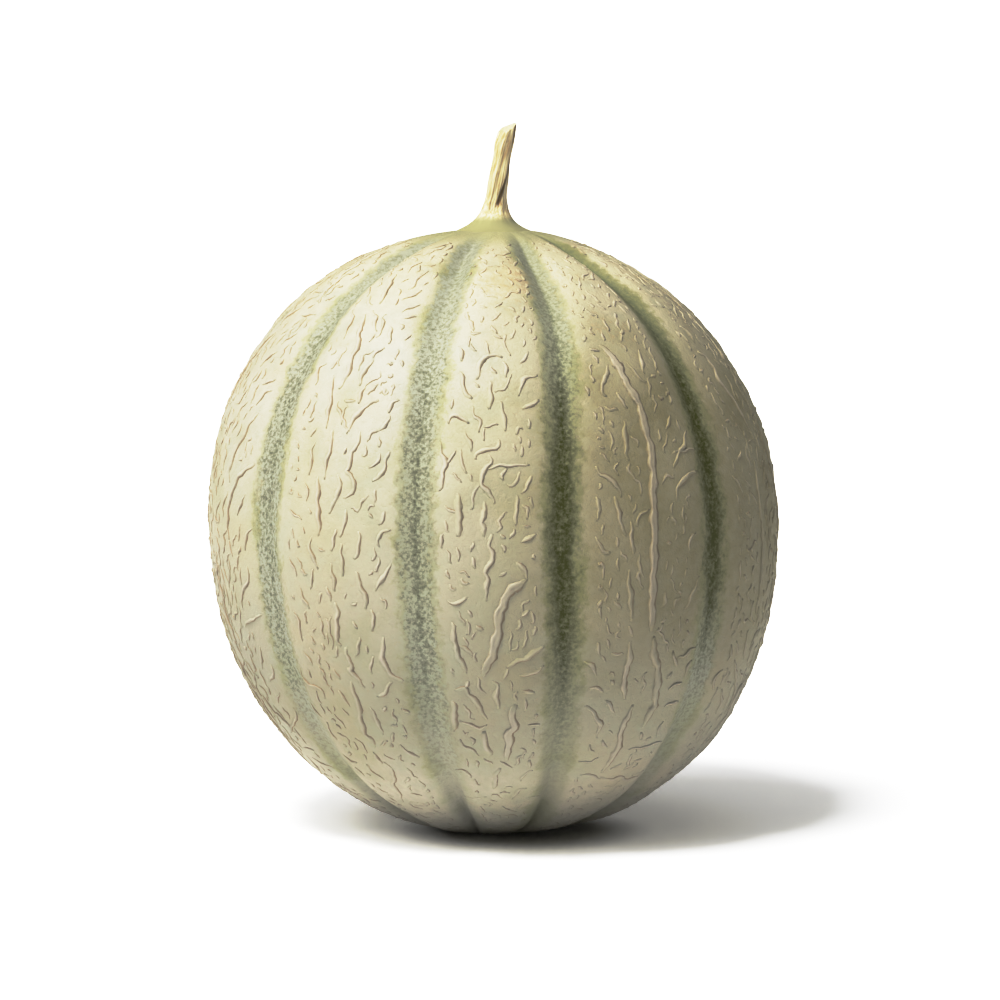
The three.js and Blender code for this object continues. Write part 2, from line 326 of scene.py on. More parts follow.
# On the left lobe of the front.
LEFT_LOBE_CORDS = [
    (0.6, (-31.3, 52), (-33, 48), (-33.5, 44.5), (-35.3, 40.5), (-36.5, 36.5), (-38.5, 33.3)),
    (0.5, (-40, 36.8), (-40.3, 32.5), (-41, 27.5), (-41.8, 23.3)),
    (0.5, (-39.8, 23), (-40.5, 18.8), (-41.5, 15), (-42.3, 10.5)),
    (0.6, (-28.3, 30.3), (-30.8, 29.3), (-33.3, 27.3), (-35, 24.8), (-36, 22.5)),
    (0.5, (-31.8, 34.3), (-32.8, 32), (-33.3, 29.5)),
    (0.6, (-29.5, 40.5), (-31.3, 38.8), (-32.5, 37), (-33.3, 34)),
    (0.5, (-23.3, 30.5), (-25, 29.5), (-25.8, 27)),
    (0.45, (-25.3, 26.3), (-26.8, 24.3), (-28, 22.5)),
    (0.5, (-23.8, 62), (-24.8, 60.5), (-25.8, 58.8), (-28, 54.5)),
    (0.35, (-29.8, 59.3), (-30.8, 56.3)),
    (0.4, (-34.5, 53), (-34.8, 50.5), (-36.3, 48), (-37, 46)),
    (0.4, (-41.3, 39.8), (-43.3, 38.8), (-43.8, 36.3), (-44.3, 34.3)),
    (0.5, (-25.3, 48.8), (-25.5, 46.3), (-26, 44.5)),
    (0.4, (-27, 43.8), (-28.8, 42.5), (-29.8, 41)),
    (0.4, (-29.3, 47), (-30.8, 45)),
    (0.4, (-23.3, 56), (-24.3, 54.3)),
    (0.35, (-17.3, 65), (-19.5, 64.3), (-21, 62.5)),
    (0.45, (-15.8, 63), (-18.3, 61.5), (-19.8, 59.3), (-20.8, 58.3)),
    (0.4, (-17.8, 58.3), (-19.8, 56.8), (-22.8, 55.8)),
    (0.35, (-18, 54.3), (-20.8, 53.8), (-22.5, 52.5)),
    (0.3, (-19, 51.5), (-22, 51)),
    (0.35, (-20.3, 46.8), (-22, 45.5)),
    (0.45, (-44.5, 20), (-45.3, 17.5), (-45.5, 15), (-45.8, 11.5)),
    (0.65, (-43.8, 11.3), (-43.8, 7.5), (-43.8, 3.8), (-43.5, 0), (-43.3, -3.8)),
    (0.5, (-33, 22.5), (-33.8, 18.8), (-35.3, 16.8), (-35.8, 13.3), (-36.3, 12.5), (-35, 10.5),
     (-34.5, 8.3), (-35.8, 6.8), (-37.5, 5.8)),
    (0.55, (-38.5, 11.8), (-38.3, 8), (-39.3, 5.8), (-40.3, 3.8), (-40.8, 1.8)),
    (0.55, (-36.8, 3), (-37, 0), (-38, -3), (-38.5, -3.8)),
    (0.5, (-39.3, -2), (-39.8, -5), (-40.3, -7.5)),
    (0.5, (-38, -5.5), (-37.8, -8.8), (-37.3, -13.8)),
    (0.5, (-45.3, -3.8), (-45.5, -6.8), (-44.8, -9), (-43.5, -12)),
    (0.4, (-44.8, -11.8), (-45, -14.3), (-45.5, -17)),
    (0.5, (-40.5, -10.5), (-39.8, -13.8), (-39.3, -17.5)),
    (0.4, (-41.5, -16.3), (-40.8, -18), (-40.3, -20)),
    (0.7, (-39.3, -20), (-38.8, -23), (-39, -26.3), (-38.8, -30), (-38, -31.3)),
    (0.45, (-48.3, -16.3), (-47.3, -19.3), (-45.8, -22)),
    (0.35, (-50.8, -8.8), (-49.5, -12), (-48.8, -13.8)),
    (0.6, (-34.3, -12.5), (-33.3, -15.5), (-32, -18.8), (-31.5, -22)),
    (0.55, (-30.5, -22), (-29.8, -24.5), (-30, -27.5)),
    (0.5, (-33.8, -2.5), (-33.3, -5), (-34, -8), (-34.8, -9.5)),
    (0.5, (-26.8, 2.5), (-27.5, 0.8), (-28.5, -1)),
    (0.5, (-25.5, 17.5), (-26.8, 15), (-27.3, 12.5), (-28.8, 10.8), (-30, 9.8)),
    (0.4, (-28, 17), (-28.5, 15), (-31, 13.5)),
    (0.4, (-25.5, -2), (-27.8, -3), (-29, -4.5), (-28.3, -6.5)),
    (0.5, (-25.8, -10.5), (-26.5, -13), (-28, -14.5), (-29.3, -17.5)),
    (0.4, (-50, -22.5), (-48.8, -24.3), (-48.3, -27.5), (-47.5, -30)),
    (0.35, (-47, 10), (-46.3, 7.5), (-46.5, 5)),
    (0.35, (-50.8, 3), (-49, 1.3), (-47.5, 0.3)),
    (0.4, (-28.3, 22.5), (-30.3, 22), (-31.3, 20)),
    (0.35, (-35, -25), (-33.8, -27)),
    (0.35, (-36.3, 18.3), (-37.3, 16.8)),
    (0.6, (-36.8, -31.3), (-36.3, -33.8), (-35.3, -36.3), (-35.3, -37.5), (-33.8, -39.3), (-32, -41.5)),
    (0.65, (-35.5, -40), (-35, -42.5), (-33.8, -45), (-33.3, -48), (-32.8, -50.5), (-32, -53),
     (-30.5, -54.5), (-29.3, -56.3)),
    (0.5, (-30, -57.5), (-28.8, -59.3), (-28, -60.5)),
    (0.5, (-27.5, -60), (-25.8, -61.5), (-24.8, -63.8), (-25.3, -65.5), (-24, -67.5), (-23, -70)),
    (0.45, (-33.3, -28.8), (-33.5, -31.3), (-34.3, -33.8)),
    (0.6, (-27.3, -28.8), (-27.5, -33.8), (-27, -36), (-25, -38.3), (-22.3, -40)),
    (0.5, (-30.8, -46.3), (-29.5, -48.5), (-28.3, -51.3), (-27.5, -53.3)),
    (0.45, (-38.5, -42), (-37.3, -44.3), (-35.8, -46.3)),
    (0.4, (-48.3, -36.3), (-47.5, -38.8), (-45.8, -40.8), (-44.3, -41), (-43, -42), (-42, -44.3)),
    (0.4, (-47.5, -32.5), (-46, -34.3), (-45, -35.8)),
    (0.4, (-41.8, -50), (-40.8, -52.5), (-39.3, -54.5)),
    (0.5, (-25.3, -40), (-26.8, -42.5), (-28.8, -43.8)),
    (0.4, (-37.8, -58), (-35.8, -59.8), (-34.3, -60)),
    (0.35, (-35.8, -62.5), (-32.8, -64)),
    (0.35, (-34.5, -64.5), (-31.3, -66.3), (-29.5, -67.3)),
    (0.45, (-32, -60.5), (-30.3, -62.5), (-27.5, -64.5)),
    (0.3, (-32, -69), (-29, -69.8)),
    (0.35, (-45.8, -45), (-44.5, -47), (-43, -48.8)),
    (0.45, (-23.3, -55.8), (-21.3, -57.5), (-18.3, -58.8)),
    (0.35, (-22.8, -46.8), (-20.8, -48)),
    (0.35, (-21.3, -61.5), (-20.3, -63.3), (-18.8, -64)),
    (0.3, (-20.8, -68), (-17.8, -68.5)),
]

# On the middle lobe of the front.
MIDDLE_LOBE_CORDS = [
    (0.55, (-4, 35.5), (-3.3, 38), (-3, 40), (-1.3, 41.3), (0.5, 41.5), (2.5, 41)),
    (0.5, (2.5, 40), (3.5, 38), (3.5, 36)),
    (0.6, (-0.5, 35), (-0.5, 31.3), (-0.8, 28)),
    (0.55, (1.5, 30), (2.5, 28), (3, 25), (3, 22.5)),
    (0.45, (-8.3, 43.8), (-7.5, 42), (-8, 40)),
    (0.5, (-8, 37.5), (-7.5, 35), (-6.8, 32.5), (-5.3, 30.5)),
    (0.5, (-11.3, 24.5), (-10.3, 26.5), (-7.8, 26), (-5.8, 24.8)),
    (0.5, (11.8, 30), (9.3, 29), (7.3, 28)),
    (0.45, (11.3, 36.5), (8.5, 35.8), (7.3, 34), (6.3, 31.3)),
    (0.4, (8.8, 42.5), (8, 40.5), (7, 39.3)),
    (0.4, (-1.8, 45), (-1, 42.5), (-1.3, 41)),
    (0.35, (-0.5, 48.8), (1.3, 46.8)),
    (0.3, (0, 46.3), (2.5, 45.8)),
    (0.35, (-2, 59.3), (1.8, 58)),
    (0.35, (0.5, 53), (2.5, 54.5)),
    (0.35, (7.8, 45.5), (7.8, 43.5)),
    (0.4, (-4.5, 35), (-3.3, 33.5)),
    (0.4, (8.8, 25.5), (9.3, 23)),
    (0.45, (-7, 22.5), (-5.8, 20), (-5.3, 17.5)),
    (0.5, (1.8, 20.5), (1, 18.5), (-2, 17.8), (-4, 16.8), (-4.3, 15.5)),
    (0.5, (-0.8, 17), (-0.5, 14.5), (-2.3, 12.5), (-2.8, 10), (-1.8, 8), (0, 6), (0.5, 4.3)),
    (0.35, (-1.3, 13.3), (3, 14), (9.3, 14)),
    (0.4, (3.5, 13.5), (2.5, 11.5), (2.8, 10.3)),
    (0.45, (9.5, 11.5), (9, 9.5), (8.5, 8), (7, 7.3)),
    (0.5, (6.3, 6.5), (6, 3.8), (6, 1.3), (5.5, -1)),
    (0.5, (-13.3, 20), (-12.5, 16.3), (-11.8, 14.5), (-12.5, 11.3), (-13, 7.5)),
    (0.4, (-9.3, 18), (-10.8, 15), (-11.8, 14.3)),
    (0.85, (-8.5, 7), (-8.8, 3.8), (-8.3, 1.3), (-8.5, -1.8), (-8.8, -3.8)),
    (0.4, (-12, 4), (-10.3, 2.5), (-8.8, 1.8)),
    (0.6, (-1.8, 5), (-2, 2.5), (-2.8, 0), (-2, -2), (-2.3, -3.8)),
    (0.5, (0, -3), (-0.8, -6.3), (0, -8.3), (-0.3, -10.5), (-2, -12.5), (-1.3, -14.3), (-1.5, -17.5),
     (-1.8, -20)),
    (0.45, (-8.8, -6.3), (-8.5, -10)),
    (0.4, (-4.8, -8.8), (-4.5, -11.8)),
    (0.4, (11, -3.3), (9.3, -4), (7, -5.3)),
    (0.5, (5.8, -10), (8, -12), (8.3, -14), (8.8, -14.5)),
    (0.4, (-11.3, -19.8), (-8.8, -20.5), (-6.3, -19)),
    (0.35, (9.3, -22.3), (7, -24)),
    (0.6, (-10, -25), (-9.5, -30), (-8.8, -33), (-7.5, -35.8), (-6.5, -38)),
    (0.6, (-9.5, -42.5), (-7, -41.8), (-5.8, -43.3), (-4.3, -45), (-2.8, -47.5), (-1.3, -49.5)),
    (0.4, (-5.8, -40), (-6.8, -41.8)),
    (0.4, (-8.3, -50), (-5.8, -50.8), (-3.3, -51.8), (-1.3, -51)),
    (0.85, (-2.3, -52.5), (-2, -55), (-1.3, -57.5), (-0.5, -58.8)),
    (0.35, (1.8, -60.5), (3.3, -61), (4.8, -61.8)),
    (0.55, (2, -62), (0.8, -64), (0.5, -67)),
    (0.6, (0, -40), (1.3, -41.5), (1, -43.8), (1.5, -47)),
    (0.6, (13, -31.3), (9.3, -33.8), (5.5, -35.5), (3.5, -36.5)),
    (0.45, (13, -36.3), (10.5, -37.8), (6.8, -38.8)),
    (0.45, (3.8, -36.8), (3, -39.5)),
    (0.35, (11.8, -50.8), (8.8, -51)),
    (0.45, (-8.3, -54.5), (-7.3, -56.3), (-5.3, -57), (-4.3, -58.3), (-3.3, -58.8)),
    (0.4, (-9.3, -62), (-7, -62.5), (-5.5, -64.3)),
    (0.35, (-7, -68.8), (-4.5, -69.5), (-1.5, -69)),
    (0.4, (6.8, -65), (8.5, -63), (10, -62.3)),
    (0.4, (4.8, -69.5), (6.3, -67.5), (8.5, -66.8)),
    (0.3, (8.8, -69.3), (11.8, -68.8)),
    (0.4, (8.3, -44.3), (8, -47.5)),
    (0.35, (2.5, -71.3), (4, -72.5), (6, -72.8)),
    (0.8, (-10, -45), (-9.5, -48), (-9.8, -52.5)),
    (0.4, (7.3, -42.5), (10.5, -42.8)),
]

# On the right lobe of the front.
RIGHT_LOBE_CORDS = [
    (0.85, (40, -28.8), (40.3, -33.8), (41.3, -37.5), (41, -42.5), (40.5, -46.3), (39.3, -48.8),
     (37.3, -52)),
    (0.5, (36.8, 42.5), (37.3, 39.5), (38, 36.3)),
    (0.5, (28.8, 38.8), (28.3, 35.5), (27.3, 32.5), (28.3, 30.8)),
    (0.45, (30.8, 32), (32.3, 30), (33.8, 28)),
    (0.35, (34.3, 50), (34.5, 47)),
    (0.6, (33, 25), (33.5, 18.8), (34, 15)),
    (0.5, (44.5, 26.3), (43.5, 22.5)),
    (0.5, (25.8, 13.8), (27.3, 11.5), (29.8, 10.5), (31.3, 8.5), (32.5, 6)),
    (0.55, (30.8, 6.3), (31.5, 2.5), (32.5, -1.3), (33.3, -3.8)),
    (0.55, (34.8, 0), (34.8, -5), (35.3, -8)),
    (0.6, (34.3, -12), (34, -15), (34.5, -20), (34.5, -25)),
    (0.45, (26, 6.3), (26.8, 3.8), (26, 0)),
    (0.45, (25.8, -3.8), (27.3, -7), (29.5, -7.8)),
    (0.5, (48.3, 22.5), (47.8, 18.8), (46.3, 16.3), (45.3, 13)),
    (0.35, (44.8, 16.8), (47.8, 17.5), (50.5, 18)),
    (0.5, (51, 12.5), (48.3, 11), (46.3, 8.3), (45.8, 5)),
    (0.4, (50.8, -3), (49.3, -5), (49.3, -7.5)),
    (0.45, (51.8, -13.8), (51, -16.3), (49.3, -20), (47.8, -22.5)),
    (0.7, (34.3, -30), (34.3, -33.8), (33.5, -37.5), (32.8, -40), (33, -42.5), (32.8, -45)),
    (0.65, (35, -46.3), (34.3, -48.8), (33, -50.5), (32, -53.8), (31.3, -57), (29.8, -59.5), (28, -62),
     (27.3, -63.3)),
    (0.45, (51, -31.8), (49.3, -32.5), (47.8, -33.8), (46, -34.5)),
    (0.5, (44.8, -32.5), (45.3, -35), (46.3, -36.3)),
    (0.45, (49.8, -35), (48.5, -37), (47.8, -39.5)),
    (0.4, (47.3, -40.5), (45.5, -41.3), (43.8, -42.5)),
    (0.4, (46.3, -45.5), (44.3, -46), (42.8, -47)),
    (0.4, (42.5, -50.5), (41.3, -52.5), (40.5, -54.5)),
    (0.4, (42, -55.5), (39.3, -56.3), (36.8, -57), (33.8, -57.5)),
    (0.35, (26.8, -64.5), (29.3, -65), (31.3, -64.3), (33, -65), (36.8, -64)),
    (0.4, (23.8, -42), (26.3, -42), (27.8, -43)),
    (0.45, (28.3, -45), (29.8, -47), (30.5, -48.3)),
    (0.35, (27.3, -55), (28.3, -57)),
    (0.35, (40.5, -60.5), (38, -62.5), (34.3, -64)),
    (0.45, (23, -35), (24.8, -36.3), (26, -38.8)),
    (0.5, (23.3, -46.3), (25.3, -48.3), (26.8, -51.3), (25.8, -54.5)),
    (0.35, (21.3, -60.5), (24.3, -60.5), (26.3, -59.5)),
    (0.35, (21.8, -63.8), (24.3, -64), (26.8, -65)),
    (0.45, (23, 33.8), (24.3, 31.3)),
    (0.35, (24.3, 43), (26.8, 42)),
    (0.35, (28, 50), (29.3, 47)),
]

# Along the right edge, beyond the last suture of the front.
RIGHT_LIMB_CORDS = [
    (0.6, (51.3, 42), (53.8, 40), (55.5, 37.5), (56.8, 34.5), (58.8, 32), (60.5, 29.5), (62.3, 26.3),
     (64.3, 22.5)),
    (0.6, (65.5, 15), (66.8, 5), (67.5, -2.5), (67.3, -10), (66.3, -20)),
    (0.5, (47, 48), (49.3, 46.3), (51, 43.8)),
    (0.4, (62.3, 17.5), (61.3, 15)),
    (0.4, (60, 11.3), (61.8, 8.8), (63, 5.8)),
    (0.4, (61.8, -10), (61.5, -15)),
    (0.5, (63.8, -27.5), (63, -31.3), (62.5, -35)),
    (0.4, (59.5, -31.3), (59.5, -33.8), (58.5, -35.5)),
    (0.5, (60.3, -35), (60.5, -38.8), (60.3, -42.5), (58.8, -46.3), (57.3, -48.8)),
    (0.45, (56.8, -42.5), (56.8, -45.5), (55.3, -48.8)),
    (0.4, (57.3, -37.5), (55.3, -39.5), (54.5, -42.5)),
]

# The three broadest, whose cork has cracked open along the middle.
CRACKED_CORDS = [
    (0.9, (26.8, 43.8), (29.3, 41.3), (31.3, 38.8), (32.3, 36.3), (34.3, 33), (36, 30), (37.3, 27.5),
     (38, 23.8), (39.3, 20), (40, 15), (40.3, 10), (40.3, 5), (40.5, -1.3), (40.5, -7.5), (40, -17.5),
     (39.5, -27.5)),
    (0.9, (8.8, -14.5), (6.3, -16), (4.5, -17.5), (3, -20), (1.8, -23), (1.3, -27.5), (0.3, -32.5),
     (-1.3, -36.3), (-2.3, -38.8)),
    (0.85, (5.8, -45.8), (4.8, -48.8), (5.5, -51.3), (4.3, -53.3), (4, -56.3), (3.5, -60)),
]

LEFT_CORDS = LEFT_LIMB_CORDS + LEFT_LOBE_CORDS + MIDDLE_LOBE_CORDS
RIGHT_CORDS = RIGHT_LOBE_CORDS + RIGHT_LIMB_CORDS


# Shapes


def smoothstep(value, start, end):
    """Rises smoothly from 0 at the start to 1 at the end: 3t^2 - 2t^3."""
    t = np.clip((value - start) / (end - start), 0, 1)
    return t * t * (3 - 2 * t)


def body_reach(latitude):
    """The smooth body's radius at a latitude: a superellipse turned about the axis."""
    upper = latitude > 0
    half = np.where(upper, UPPER_HALF, LOWER_HALF)
    fullness = np.where(upper, UPPER_FULLNESS, LOWER_FULLNESS)
    across = np.abs(np.cos(latitude)) / EQUATOR_RADIUS
    along = np.abs(np.sin(latitude)) / half
    return (across**fullness + along**fullness) ** (-1 / fullness)


def turned_degrees(longitude):
    """A longitude in degrees, within a turn from the first suture."""
    first = SUTURE_LONGITUDES[0]
    return (np.degrees(longitude) - first) % 360 + first


def swing(straight, latitude):
    """How far the rind swings round at a place, from the swings of the sutures beside it.

    The swing grows with the square of the sine of the latitude.
    """
    share = np.where(latitude > 0, 1, LOWER_SWING) * np.sin(latitude) ** 2
    return np.radians(np.interp(turned_degrees(straight), SUTURE_ENDS, SWING_ENDS)) * share


def lobe_and_share(longitude, latitude):
    """The lobe that a place falls in, and the share of the lobe's width that lies before it."""
    straight = longitude - swing(longitude, latitude)
    straight = longitude - swing(straight, latitude)
    turned = turned_degrees(straight)
    lobe = np.searchsorted(SUTURE_ENDS, turned, side="right") - 1
    lobe = np.clip(lobe, 0, len(SUTURE_LONGITUDES) - 1)
    width = SUTURE_ENDS[lobe + 1] - SUTURE_ENDS[lobe]
    return lobe, (turned - SUTURE_ENDS[lobe]) / width


def suture_sink(longitude, latitude):
    """Depth below the smooth body: a broad scallop for each lobe, and a narrow valley along each suture."""
    share = lobe_and_share(longitude, latitude)[1]
    away = 1 - np.abs(2 * share - 1)
    valley = np.exp(-((away / np.interp(latitude, VALLEY_LATITUDES, VALLEY_WIDTHS)) ** 2))
    scallop = BROAD_SCALLOP * (1 - away) ** 2 + NARROW_VALLEY * valley
    depth = SUTURE_DEPTH + SUTURE_DEPTH_GAIN * np.sin(latitude) ** 2
    return depth * scallop * smoothstep(np.cos(latitude), SUTURE_END, SUTURE_END + SUTURE_FADE)


def axis_drift(height, latitude):
    """How far the melon leans to the side at a height above the widest ring."""
    return LEAN * height * smoothstep(np.cos(latitude), SUTURE_END, LEAN_FADE)


def rind_point(longitude, latitude, raised=0.0):
    """A point at the rind's radius plus a height, along its longitude and latitude from the centre."""
    reach = body_reach(latitude) - suture_sink(longitude, latitude) + raised
    out = reach * np.cos(latitude)
    height = reach * np.sin(latitude)
    x = out * np.sin(longitude) + axis_drift(height, latitude)
    y = -out * np.cos(longitude)
    z = np.maximum(EQUATOR_HEIGHT + height, 0)
    return np.stack(np.broadcast_arrays(x, y, z), axis=-1)


def unit(vectors):
    """The vectors at length 1."""
    return vectors / np.maximum(np.linalg.norm(vectors, axis=-1, keepdims=True), 1e-9)


def rind_normal(longitude, latitude):
    """The outward normal: the cross product of the surface's slopes along longitude and latitude."""
    step = NORMAL_STEP
    along_ring = rind_point(longitude + step, latitude) - rind_point(longitude - step, latitude)
    upward = rind_point(longitude, latitude + step) - rind_point(longitude, latitude - step)
    return unit(np.cross(along_ring, upward))


def lobe_width(lobe, latitude):
    """The width of a lobe in millimetres: its angle times the radius of the smooth body's ring."""
    return np.radians(SUTURE_ENDS[lobe + 1] - SUTURE_ENDS[lobe]) * body_reach(latitude) * np.cos(latitude)


def band_place(longitude, latitude):
    """Distance from the nearest suture, 1 at the edge of its green band, and how dark that suture is."""
    lobe, share = lobe_and_share(longitude, latitude)
    distance = np.minimum(share, 1 - share) * lobe_width(lobe, latitude)
    half_width = BAND_END_WIDTH + (BAND_HALF_WIDTH - BAND_END_WIDTH) * np.cos(latitude)
    nearest = np.where(share < 0.5, lobe, (lobe + 1) % len(SUTURE_LONGITUDES))
    upper, middle, lower = np.moveaxis(SUTURE_DARKNESS[nearest], -1, 0)
    darkness = middle + (upper - middle) * smoothstep(latitude, *UPPER_DARKENING)
    return distance / half_width, darkness + (lower - middle) * smoothstep(-latitude, *LOWER_DARKENING)


def rind_swell(longitude, latitude):
    """How far the rind swells or sinks softly: sines of whole numbers of waves round the melon, added up.

    The swell dies away towards the stem and the flat spot.
    """
    draws = np.random.default_rng(SWELL_SEED)
    total = 0.0
    for _ in range(SWELL_SINES):
        around = draws.integers(*SWELL_WAVES)
        upward = draws.uniform(*SWELL_WAVES) * draws.choice([-1, 1])
        phase = draws.uniform(0, 2 * math.pi)
        total = total + np.sin(around * longitude + upward * latitude + phase)
    waves = total / math.sqrt(2 * SWELL_SINES)
    return UNEVENNESS * waves * smoothstep(np.cos(latitude), SUTURE_END, LEAN_FADE)


def tube_quads(rings, sides):
    """The quads of a closed tube whose vertices come ring by ring, with its rings anticlockwise."""
    ring, side = np.meshgrid(np.arange(rings - 1), np.arange(sides), indexing="ij")
    beside = (side + 1) % sides
    low, high = ring * sides, (ring + 1) * sides
    return np.stack([low + side, low + beside, high + beside, high + side], axis=-1).reshape(-1, 4)


def tube_ends(rings, sides):
    """The triangles that close a tube at its first ring and its last, round one vertex for each."""
    side = np.arange(sides)
    beside = (side + 1) % sides
    last = (rings - 1) * sides
    foot = np.stack([np.full(sides, rings * sides), beside, side], axis=-1)
    top = np.stack([np.full(sides, rings * sides + 1), last + side, last + beside], axis=-1)
    return np.concatenate([foot, top])


def closed_tube(ring_points, foot_point, top_point):
    """Vertices and faces of a closed tube: rings of points, and a point in the middle of each end."""
    rings, sides = ring_points.shape[:2]
    vertices = np.concatenate([ring_points.reshape(-1, 3), foot_point[None], top_point[None]])
    return vertices, tube_quads(rings, sides), tube_ends(rings, sides)


def mesh_object(name, tubes, attributes, material):
    """One smooth object from closed tubes in millimetres, with a value at each vertex for each attribute."""
    starts = np.cumsum([0] + [len(tube[0]) for tube in tubes])
    quads = np.concatenate([tube[1] + start for tube, start in zip(tubes, starts)])
    triangles = np.concatenate([tube[2] + start for tube, start in zip(tubes, starts)])
    mesh = bpy.data.meshes.new(name)
    vertices = np.concatenate([tube[0] for tube in tubes]) * MM
    mesh.from_pydata(vertices.tolist(), [], quads.tolist() + triangles.tolist())
    for key, values in attributes.items():
        values = np.asarray(values, dtype=np.float32)
        is_vector = values.ndim == 2
        layer = mesh.attributes.new(key, "FLOAT_VECTOR" if is_vector else "FLOAT", "POINT")
        layer.data.foreach_set("vector" if is_vector else "value", values.ravel())
    mesh.shade_smooth()
    mesh.materials.append(material)
    piece = bpy.data.objects.new(name, mesh)
    bpy.context.scene.collection.objects.link(piece)
    return piece


def rind_tube(columns_per_lobe, rows, scar_depth):
    """The whole rind as rings of points from the blossom end up to the stem's seat.

    Each lobe has the same number of columns, with one on each suture. The flat spot that the melon
    rests on is dimpled in the middle by a scar: depth x exp(-(radius / scar radius)^2).
    """
    shares = np.arange(columns_per_lobe) / columns_per_lobe
    starts, ends = SUTURE_ENDS[:-1, None], SUTURE_ENDS[1:, None]
    straight = np.radians(starts + (ends - starts) * shares).ravel()[None, :]
    main = np.linspace(FLAT_SPOT_EDGE, SEAT_EDGE, rows)
    latitude = np.concatenate([SCAR_LATITUDES, main, SEAT_LATITUDES])[:, None]
    longitude = straight + swing(straight, latitude)
    points = rind_point(longitude, latitude, rind_swell(longitude, latitude))
    radius = np.hypot(points[..., 0], points[..., 1])
    below = points[..., 2] < SCAR_REACH
    points[..., 2] += below * scar_depth * np.exp(-((radius / SCAR_RADIUS) ** 2))
    band, darkness = band_place(longitude, latitude)
    pole = np.array([0, 0, scar_depth])
    tube = closed_tube(points, pole, np.array([0, 0, EQUATOR_HEIGHT + UPPER_HALF]))
    band = np.append(band.ravel(), [band.max(), 0])
    darkness = np.append(np.broadcast_to(darkness, points.shape[:2]).ravel(), [0, 0])
    return tube, {"band": band, "darkness": darkness}


def sight_place(right, up, share):
    """The place that lies a share of the eye's distance along a sight line: to the side, back and height."""
    beyond = (share - 1) * EYE_DISTANCE
    height = share * up * math.cos(EYE_ELEVATION) - beyond * math.sin(EYE_ELEVATION)
    back = share * up * math.sin(EYE_ELEVATION) + beyond * math.cos(EYE_ELEVATION)
    latitude = np.arctan2(height, np.hypot(share * right, back))
    side = share * right - axis_drift(height, latitude)
    return np.arctan2(side, -back), latitude, np.sqrt(side**2 + back**2 + height**2)


def on_rind(right, up):
    """Longitude and latitude where sight lines meet the rind, found by halving the stretch they lie in.

    A sight line passes the point that is so far right and up on the plane through the melon's middle.
    """
    near = np.full(right.shape, 1 - SIGHT_START * EQUATOR_RADIUS / EYE_DISTANCE)
    far = np.ones(right.shape)
    for _ in range(SIGHT_STEPS):
        middle = (near + far) / 2
        longitude, latitude, distance = sight_place(right, up, middle)
        outside = distance > body_reach(latitude) - suture_sink(longitude, latitude)
        near = np.where(outside, middle, near)
        far = np.where(outside, far, middle)
    return longitude, latitude


def smooth_route(points, step):
    """A Catmull-Rom curve through a few points, with about one point for each step of its length."""
    points = np.array(points, dtype=float)
    before = 2 * points[:1] - points[1:2]
    after = 2 * points[-1:] - points[-2:-1]
    padded = np.concatenate([before, points, after])
    length = np.linalg.norm(np.diff(points, axis=0), axis=1).sum()
    place = np.linspace(0, len(points) - 1, max(FEWEST_STEPS, math.ceil(length / step) + 1))
    start = np.minimum(place.astype(int), len(points) - 2)
    t = (place - start)[:, None]
    a, b, c, d = (padded[start + k] for k in range(4))
    return 0.5 * (2 * b + (c - a) * t + (2 * a - 5 * b + 4 * c - d) * t**2 + (3 * b - a - 3 * c + d) * t**3)


def grown_route(draws, lobe, share, latitude, length, heading, wander=0.5):
    """A wandering route down a lobe: its heading swings by two sines, and its steps are added up."""
    steps = max(FEWEST_STEPS, math.ceil(length / ROUTE_STEP) + 1)
    gone = np.linspace(0, length, steps)
    swings = 0.0
    for size, slowest, fastest in HEADING_SWINGS:
        swings = swings + size * np.sin(gone * draws.uniform(slowest, fastest) + draws.uniform(0, PHASES))
    turned = heading + wander * swings
    latitudes = latitude - np.cumsum(np.cos(turned)) * length / steps / EQUATOR_RADIUS
    latitudes = np.clip(latitudes, NET_BOTTOM, NET_TOP)
    shares = share + np.cumsum(np.sin(turned) / lobe_width(lobe, latitudes)) * length / steps
    shares = 0.5 + NET_REACH * np.tanh((shares - 0.5) / NET_REACH)
    straight = np.radians(SUTURE_ENDS[lobe] + shares * (SUTURE_ENDS[lobe + 1] - SUTURE_ENDS[lobe]))
    return straight + swing(straight, latitudes), latitudes


def wavy(draws, gone, longest, shortest):
    """A wavering from about -1 to 1 along a route: the sines of a long wave and a short one, added up.

    The long wave is at most the longest length, and the short one at least the shortest.
    """
    wavelengths = draws.uniform([LONG_WAVES * longest, shortest], [longest, 2 * shortest])
    slow, fast = 2 * math.pi / wavelengths
    waves = np.sin(gone * slow + draws.uniform(0, PHASES))
    waves = waves + SHORT_WAVE_SHARE * np.sin(gone * fast + draws.uniform(0, PHASES))
    return waves / WAVE_SUM


def ridge_profile(across, shape):
    """A ridge's height, from 0 to 1, and how brown its crevices are, partly as painted shade, at a place
    across it.

    The height rises smoothly from the shape's start to its rise, stays level, drops smoothly from its
    fall to its foot, and dips at its crack in the middle. Crevices run along both feet, strongest on the
    right, the side away from the lights; they are partly brown cork and partly painted shade.
    """
    up = smoothstep(across, shape.start, shape.rise)
    down = smoothstep(across, shape.fall, shape.foot)
    profile = up * (1 - down) * (1 - shape.crack * np.exp(-((across / CRACK_WIDTH) ** 2)))
    lead = shape.foot - CREVICE_AND_SHADE_LEAD
    right = smoothstep(across, lead, lead + CREVICE_AND_SHADE_LEAD / 2) * (1 - smoothstep(across, CREVICE_AND_SHADE_END, 1))
    left = smoothstep(across, -1, shape.start + LEFT_CREVICE_AND_SHADE_LEAD)
    left = left * (1 - smoothstep(across, shape.start, shape.start + LEFT_CREVICE_AND_SHADE_WIDTH))
    return profile, right + shape.left_crevice * left


